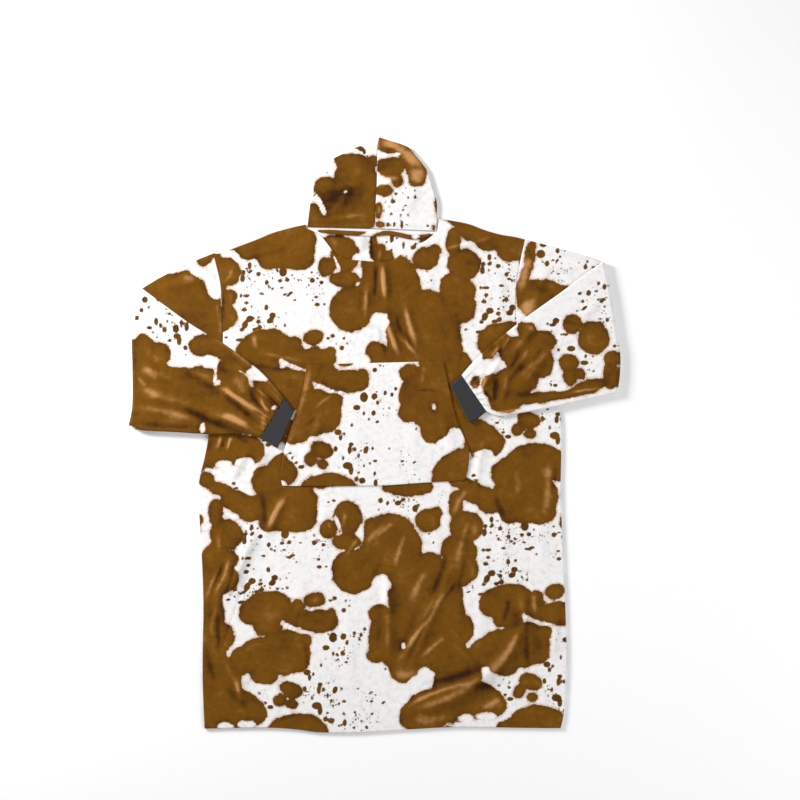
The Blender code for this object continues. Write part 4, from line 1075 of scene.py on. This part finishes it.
def neck_band():
    """The rolled seam under the hood: a flat round roll carried along the back of the neck."""
    share = np.r_[0, 0.004, 0.012, np.linspace(0.02, 0.98, BAND_COLUMNS), 0.988, 0.996, 1]
    path = edge(curve(BAND_PATH))
    middle = on_edge(path, share)
    heading = np.gradient(middle, axis=0)
    heading /= np.linalg.norm(heading, axis=1)[:, None]
    sideways = np.column_stack([-heading[:, 1], heading[:, 0]])
    swell = smooth_step(np.minimum(share, 1 - share) / 0.15)
    half_width = BAND_END_HALF_WIDTH + (BAND_HALF_WIDTH - BAND_END_HALF_WIDTH) * swell
    round_end = np.sqrt(1 - (1 - np.clip(np.minimum(share, 1 - share) / 0.012, 0, 1)) ** 2)
    turn = np.linspace(0, 2 * np.pi, BAND_STEPS, endpoint=False)
    plan = middle[:, None] + sideways[:, None] * ((half_width * round_end)[:, None]
                                                  * np.cos(turn))[..., None]
    height = FRONT_BASE + BAND_HALF_HEIGHT * (1 + round_end[:, None] * np.sin(turn))
    points = np.dstack([plan, height])
    ids = np.arange(len(share) * BAND_STEPS).reshape(len(share), BAND_STEPS)
    ids[0] = ids[0, 0]
    ids[-1] = ids[-1, 0]
    faces = grid_faces(np.hstack([ids, ids[:, :1]]))[:, ::-1]
    flat_points = points.reshape(-1, 3)
    maps = flat_points[:, :2]
    fields = cow_print(maps, BAND_PATCHES, BAND_BARE, [], [])
    # An even level of painted shading along the band
    fields["painted_shading"] = np.full(len(maps), BAND_SHADING_LEVEL)
    return add_mesh("neck_band", flat_points, faces, plush, maps, fields)


# Finishes: colours, widths and depths in millimetres or, where the name says so, in metres, and
# scales in cells a metre. A range is where a ramp starts and ends.
# PATCH_DARK and PATCH_LIGHT are the ends that the brown reaches with random blotches and mottling, and
# with the painted shade and painted highlight of the folds
PATCH_DARK = (0.030, 0.0075, 0.0005, 1)
PATCH_BROWN = (0.155, 0.060, 0.001, 1)
PATCH_LIGHT = (0.47, 0.235, 0.085, 1)
DARK_RANGE = (0.0, 0.72)
LIGHT_RANGE = (0.62, 1.25)
FRINGE = (0.42, 0.19, 0.055, 1)
FRINGE_WIDTH = 6.0
FRINGE_STRENGTH = 0.5
# WHITE_SHADE is the grey that the white reaches with random mottling and with the painted shade of the
# folds
WHITE = (0.80, 0.785, 0.77, 1)
WHITE_SHADE = (0.62, 0.61, 0.61, 1)
WHITE_RANGE = (0.1, 0.6)
EDGE_RANGE = (-1.2, 1.0)
RAGGED_SCALE, RAGGED_DEPTH = 38, 16.0
FINE_SCALE, FINE_DEPTH = 230, 5.0
SPOT_UNEVEN = 0.8
STRAY_SCALE, STRAY_METRES = 150.0, 0.009
CLUSTER_SCALE = 17
CLUSTER_RANGE = (0.36, 0.62)
SPECKS = ((70.0, 6.0), (150.0, 3.8))
SPECK_RARITY = 1.3
SPECK_LEAST = 0.6
BLOTCH_SCALE, BLOTCH_SHARE = 13, 0.8
MOTTLE_SCALE, MOTTLE_SHARE = 75, 0.4
RIM_WIDTH = 16.0
RIM_DARK = 0.16
PILE_SCALE, PILE_SHARE = 1500, 0.35
CRUSH_SCALE = 120
PLUSH_RELIEF_METRES = 0.0016

# The rib knit goes from RIB_DARK, painted shade in the gaps between stitches, to RIB_LIGHT on the
# stitches, mottled by the fuzz
RIB_DARK = (0.010, 0.010, 0.012, 1)
RIB_LIGHT = (0.034, 0.032, 0.037, 1)
RIB_RANGE = (0.15, 0.75)
ROW_SCALE = 190.0
WALE_SCALE = 210.0
FUZZ_SCALE = 700
RIB_RELIEF_METRES = 0.0006


def new_material(name, colour):
    """A material of the name, with its node tree and its shader."""
    material = bpy.data.materials.new(name)
    material.use_nodes = True
    material.diffuse_color = (*colour, 1)
    tree = material.node_tree
    return material, tree, tree.nodes["Principled BSDF"]


def feed(tree, socket, value):
    """Links another node's output to a socket, or sets the socket to a plain value."""
    if isinstance(value, bpy.types.NodeSocket):
        tree.links.new(value, socket)
    else:
        socket.default_value = value


def add_node(tree, kind, settings=None, **inputs):
    """Adds a node: settings are its own properties, and inputs go by name, or s and a number."""
    node = tree.nodes.new(kind)
    for key, value in (settings or {}).items():
        setattr(node, key, value)
    for key, value in inputs.items():
        name = key.replace("_", " ")
        feed(tree, node.inputs[int(name[1:]) if name[1:].isdigit() else name], value)
    return node


def calculate(tree, operation, *values):
    """The result of a Math node's operation on the values."""
    node = add_node(tree, "ShaderNodeMath", {"operation": operation})
    for socket, value in zip(node.inputs, values):
        feed(tree, socket, value)
    return node.outputs[0]


def noise(tree, place, scale, detail=3, roughness=0.6):
    """A noise from 0 to 1 over the place, with a scale a metre."""
    node = add_node(tree, "ShaderNodeTexNoise", None, Vector=place, Scale=scale, Detail=detail,
                    Roughness=roughness)
    return node.outputs["Fac"]


def ramp_between(tree, value, low, high, start=0.0, end=1.0):
    """Goes smoothly from start to end as the value goes from low to high."""
    node = add_node(tree, "ShaderNodeMapRange", {"interpolation_type": "SMOOTHSTEP"}, Value=value,
                    From_Min=low, From_Max=high, To_Min=start, To_Max=end)
    return node.outputs[0]


def blend(tree, share, first, second):
    """Mixes two colours."""
    node = add_node(tree, "ShaderNodeMix", {"data_type": "RGBA"}, s0=share, s6=first, s7=second)
    return node.outputs[2]


def wandering(tree, place, scale, depth):
    """Millimetres, inwards or outwards, by which an edge of the print wanders."""
    level = calculate(tree, "SUBTRACT", noise(tree, place, scale), 0.5)
    return calculate(tree, "MULTIPLY", level, depth)


def nearest_speck(tree, place, speckle):
    """Distance to the nearest speck: cells of two sizes, each with a speck as large as its chance."""
    wander = add_node(tree, "ShaderNodeTexNoise", None, Vector=place, Scale=STRAY_SCALE, Detail=2.0)
    strayed = add_node(tree, "ShaderNodeVectorMath", {"operation": "MULTIPLY_ADD"},
                       s0=wander.outputs["Color"], s1=(STRAY_METRES,) * 3, s2=place).outputs[0]
    cluster = ramp_between(tree, noise(tree, place, CLUSTER_SCALE, 2, 0.5), *CLUSTER_RANGE)
    likely = calculate(tree, "MULTIPLY", speckle, cluster)
    distances = []
    for scale, size in SPECKS:
        cell = add_node(tree, "ShaderNodeTexVoronoi", None, Vector=strayed, Scale=scale)
        away = calculate(tree, "MULTIPLY", cell.outputs["Distance"], 1000 / scale)
        chance = add_node(tree, "ShaderNodeSeparateColor", None, Color=cell.outputs["Color"])
        drawn = calculate(tree, "POWER", chance.outputs[0], SPECK_RARITY)
        full = calculate(tree, "MULTIPLY", calculate(tree, "MULTIPLY", likely, drawn), size)
        radius = calculate(tree, "SUBTRACT", full, SPECK_LEAST)
        distances.append(calculate(tree, "SUBTRACT", away, radius))
    return calculate(tree, "MINIMUM", *distances)


def brown_pile(tree, edge_distance, blotch, mottle, painted_shading):
    """Brown of the patches, dark to light with random blotches and mottling and with the painted
    highlight and painted shade of the folds, and darker at the rim.
    """
    rim = ramp_between(tree, edge_distance, -RIM_WIDTH, -1.0, 0.0, RIM_DARK)
    clouds = calculate(tree, "ADD", calculate(tree, "MULTIPLY", blotch, BLOTCH_SHARE),
                       calculate(tree, "MULTIPLY", mottle, MOTTLE_SHARE))
    shade = calculate(tree, "ADD", clouds, calculate(tree, "SUBTRACT", painted_shading, rim))
    dark = blend(tree, ramp_between(tree, shade, *DARK_RANGE), PATCH_DARK, PATCH_BROWN)
    return blend(tree, ramp_between(tree, shade, *LIGHT_RANGE), dark, PATCH_LIGHT)


def white_pile(tree, edge_distance, mottle, painted_shading):
    """White between the patches, greyer with random mottling and with the painted shade of the folds,
    with a tan fringe beside each patch.
    """
    light = ramp_between(tree, calculate(tree, "ADD", mottle, painted_shading), *WHITE_RANGE)
    white = blend(tree, light, WHITE_SHADE, WHITE)
    fringe = calculate(tree, "MULTIPLY",
                       ramp_between(tree, edge_distance, 0.0, FRINGE_WIDTH, 1.0, 0.0),
                       FRINGE_STRENGTH)
    return blend(tree, fringe, white, FRINGE)


def plush_fleece():
    """Printed plush: brown patches with ragged edges and a tan fringe, specks, painted highlight and
    shade along the folds, and pile.
    """
    material, tree, shader = new_material("printed plush fleece", (0.42, 0.24, 0.10))
    place = add_node(tree, "ShaderNodeUVMap", {"uv_map": "cloth"}).outputs[0]
    # The fourth field is the painted highlight and painted shade of the folds
    patch, spot, speckle, painted_shading = (
        add_node(tree, "ShaderNodeAttribute", {"attribute_name": field}).outputs["Fac"]
        for field in ("patch", "spot", "speckle", "painted_shading"))
    ragged = wandering(tree, place, RAGGED_SCALE, RAGGED_DEPTH)
    fine = wandering(tree, place, FINE_SCALE, FINE_DEPTH)
    edge_distance = calculate(tree, "ADD", patch, calculate(tree, "ADD", ragged, fine))
    spot_distance = calculate(tree, "ADD", spot, calculate(tree, "MULTIPLY", fine, SPOT_UNEVEN))
    nearest = calculate(tree, "MINIMUM", calculate(tree, "MINIMUM", edge_distance, spot_distance),
                        nearest_speck(tree, place, speckle))
    blotch = noise(tree, place, BLOTCH_SCALE)
    mottle = noise(tree, place, MOTTLE_SCALE)
    colour = blend(tree, ramp_between(tree, nearest, *EDGE_RANGE),
                   brown_pile(tree, edge_distance, blotch, mottle, painted_shading),
                   white_pile(tree, edge_distance, mottle, painted_shading))
    tree.links.new(colour, shader.inputs["Base Color"])
    pile = noise(tree, place, PILE_SCALE, 2)
    crush = noise(tree, place, CRUSH_SCALE)
    relief = calculate(tree, "ADD", calculate(tree, "MULTIPLY", pile, PILE_SHARE), crush)
    bump = add_node(tree, "ShaderNodeBump", None, Strength=0.45, Distance=PLUSH_RELIEF_METRES,
                    Height=relief)
    tree.links.new(bump.outputs[0], shader.inputs["Normal"])
    tree.links.new(ramp_between(tree, crush, 0.3, 0.7, 0.7, 0.9), shader.inputs["Roughness"])
    shader.inputs["Sheen Weight"].default_value = 0.16
    shader.inputs["Sheen Roughness"].default_value = 0.35
    shader.inputs["Sheen Tint"].default_value = (1.0, 0.74, 0.48, 1.0)
    shader.inputs["Specular IOR Level"].default_value = 0.12
    return material


def knitted_rib():
    """Rib knit: rows and wales of small stitches under a fuzz, with painted shade in the gaps between
    them.
    """
    material, tree, shader = new_material("rib knit", (0.040, 0.038, 0.045))
    place = add_node(tree, "ShaderNodeUVMap", {"uv_map": "cloth"}).outputs[0]
    rows = add_node(tree, "ShaderNodeTexWave", {"bands_direction": "Y"}, Vector=place,
                    Scale=ROW_SCALE, Distortion=1.5, Detail=1.0, Detail_Scale=2.0).outputs["Fac"]
    wales = add_node(tree, "ShaderNodeTexWave", {"bands_direction": "X"}, Vector=place,
                     Scale=WALE_SCALE, Distortion=0.4).outputs["Fac"]
    stitches = calculate(tree, "MULTIPLY", rows, wales)
    fuzz = noise(tree, place, FUZZ_SCALE, 2)
    shade = calculate(tree, "ADD", calculate(tree, "MULTIPLY", stitches, 0.5),
                      calculate(tree, "MULTIPLY", fuzz, 0.5))
    colour = blend(tree, ramp_between(tree, shade, *RIB_RANGE), RIB_DARK, RIB_LIGHT)
    tree.links.new(colour, shader.inputs["Base Color"])
    bump = add_node(tree, "ShaderNodeBump", None, Strength=0.5, Distance=RIB_RELIEF_METRES,
                    Height=shade)
    tree.links.new(bump.outputs[0], shader.inputs["Normal"])
    shader.inputs["Roughness"].default_value = 0.9
    shader.inputs["Sheen Weight"].default_value = 0.2
    return material


plush = plush_fleece()
rib_knit = knitted_rib()

# Pieces
front_necks = neck_corners(curve(FRONT_NECKLINE))
back_necks = neck_corners(np.vstack([LEFT_NAPE, RIGHT_NAPE[1:]]))
back = lay_panel("back", back_surface, 110, 150, back_necks, back_print, NAPE_FOLDS, NAPE_SHADING_STROKES)
front = lay_panel("front", front_surface, 180, 250, front_necks, body_print,
                  FRONT_FOLDS + FRONT_CREASES, BODY_SHADING_STROKES)
pocket = lay_panel("kangaroo_pocket", pocket_surface, 98, 66, [], pocket_print,
                   POCKET_FOLDS + POCKET_CREASES, POCKET_SHADING_STROKES)
left_sleeve = sleeve(
    "left_sleeve", -1, LEFT_ARMHOLE, LEFT_ARM_TOP, LEFT_ARM_UNDER, LEFT_FOLD, LEFT_FOREARM_TOP,
    LEFT_FOREARM_UNDER, LEFT_CUFF_SEAM, LEFT_ARM_FOLDS, LEFT_SLEEVE_FOLDS, LEFT_GATHERS,
    (LEFT_ARM_PATCHES, LEFT_ARM_BARE, [], LEFT_SLEEVE_SPOTS),
    (LEFT_FOREARM_PATCHES, LEFT_FOREARM_BARE, LEFT_FOREARM_SPECKLES, LEFT_SLEEVE_SPOTS),
    LEFT_ARM_SHADING_STROKES, LEFT_FOREARM_SHADING_STROKES)
right_sleeve = sleeve(
    "right_sleeve", 1, RIGHT_ARMHOLE, RIGHT_ARM_TOP, RIGHT_ARM_UNDER, RIGHT_FOLD,
    RIGHT_FOREARM_TOP, RIGHT_FOREARM_UNDER, RIGHT_CUFF_SEAM, RIGHT_ARM_FOLDS, RIGHT_SLEEVE_FOLDS,
    RIGHT_GATHERS,
    (RIGHT_ARM_PATCHES, [], RIGHT_ARM_SPECKLES, RIGHT_SLEEVE_SPOTS),
    (RIGHT_FOREARM_PATCHES, RIGHT_FOREARM_BARE, RIGHT_FOREARM_SPECKLES, RIGHT_SLEEVE_SPOTS),
    RIGHT_ARM_SHADING_STROKES, RIGHT_FOREARM_SHADING_STROKES)
left_cuff = cuff("left_cuff", -1, LEFT_CUFF_SEAM, LEFT_CUFF_END)
right_cuff = cuff("right_cuff", 1, RIGHT_CUFF_SEAM, RIGHT_CUFF_END)
left_hood = hood_half("left_hood_half", -1, LEFT_HOOD_RIM, LEFT_CROWN, LEFT_HOOD_SIDE,
                      LEFT_HOOD_FOLDS,
                      (LEFT_HOOD_PATCHES, LEFT_HOOD_BARE, LEFT_HOOD_SPECKLES, LEFT_HOOD_SPOTS),
                      LEFT_HOOD_SHADING_STROKES)
right_hood = hood_half("right_hood_half", 1, RIGHT_HOOD_RIM, RIGHT_CROWN, RIGHT_HOOD_SIDE,
                       RIGHT_HOOD_FOLDS,
                       (RIGHT_HOOD_PATCHES, RIGHT_HOOD_BARE, RIGHT_HOOD_SPECKLES, RIGHT_HOOD_SPOTS),
                       RIGHT_HOOD_SHADING_STROKES)
band = neck_band()

for piece, node, finish in (
        (back, "back_panel", "printed_plush"), (front, "front_panel", "printed_plush"),
        (pocket, "pocket", "printed_plush"), (left_sleeve, "sleeve_left", "printed_plush"),
        (right_sleeve, "sleeve_right", "printed_plush"), (left_cuff, "cuff_left", "rib_knit"),
        (right_cuff, "cuff_right", "rib_knit"), (left_hood, "hood_left", "printed_plush"),
        (right_hood, "hood_right", "printed_plush"), (band, "neck_band", "printed_plush")):
    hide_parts(node)

# Floor, light and camera, in metres
FLOOR_REACH = 6
FLOOR_HEIGHT = -0.0003
WORLD_STRENGTH = 0.42
CAMERA_PLACE = (0.0606, 0.084, 6.0)
SENSOR_WIDTH = 36
LENS = 112.5

floor_corners = [(FLOOR_REACH * x, FLOOR_REACH * y, FLOOR_HEIGHT)
                 for x, y in ((-1, -1), (1, -1), (1, 1), (-1, 1))]
floor_mesh = bpy.data.meshes.new("floor")
floor_mesh.from_pydata(floor_corners, [], [(0, 1, 2, 3)])
floor_paint, _, floor_shader = new_material("pale floor", (0.9, 0.9, 0.9))
floor_shader.inputs["Base Color"].default_value = (0.90, 0.90, 0.90, 1)
floor_shader.inputs["Roughness"].default_value = 0.95
floor_mesh.materials.append(floor_paint)
floor = bpy.data.objects.new("floor", floor_mesh)
bpy.context.scene.collection.objects.link(floor)

world = bpy.data.worlds.new("studio")
world.use_nodes = True
background = world.node_tree.nodes["Background"]
background.inputs["Color"].default_value = (1.0, 1.0, 1.0, 1)
background.inputs["Strength"].default_value = WORLD_STRENGTH
bpy.context.scene.world = world


def add_light(name, place, size, watts):
    """A soft square light, aimed at the middle of the garment."""
    lamp = bpy.data.lights.new(name, "AREA")
    lamp.energy = watts
    lamp.size = size
    light = bpy.data.objects.new(name, lamp)
    light.location = place
    aim = mathutils.Vector(place).to_track_quat("Z", "Y")
    light.rotation_euler = aim.to_euler()
    bpy.context.scene.collection.objects.link(light)


add_light("key light", (-2.4, 1.5, 1.35), 0.9, 130)
add_light("fill light", (2.4, -0.6, 2.2), 2.0, 45)

camera_data = bpy.data.cameras.new("camera")
camera_data.sensor_width = SENSOR_WIDTH
camera_data.lens = LENS
camera_data.clip_end = 50
camera = bpy.data.objects.new("camera", camera_data)
camera.location = CAMERA_PLACE
bpy.context.scene.collection.objects.link(camera)
bpy.context.scene.camera = camera
bpy.context.scene.view_settings.view_transform = "Standard"
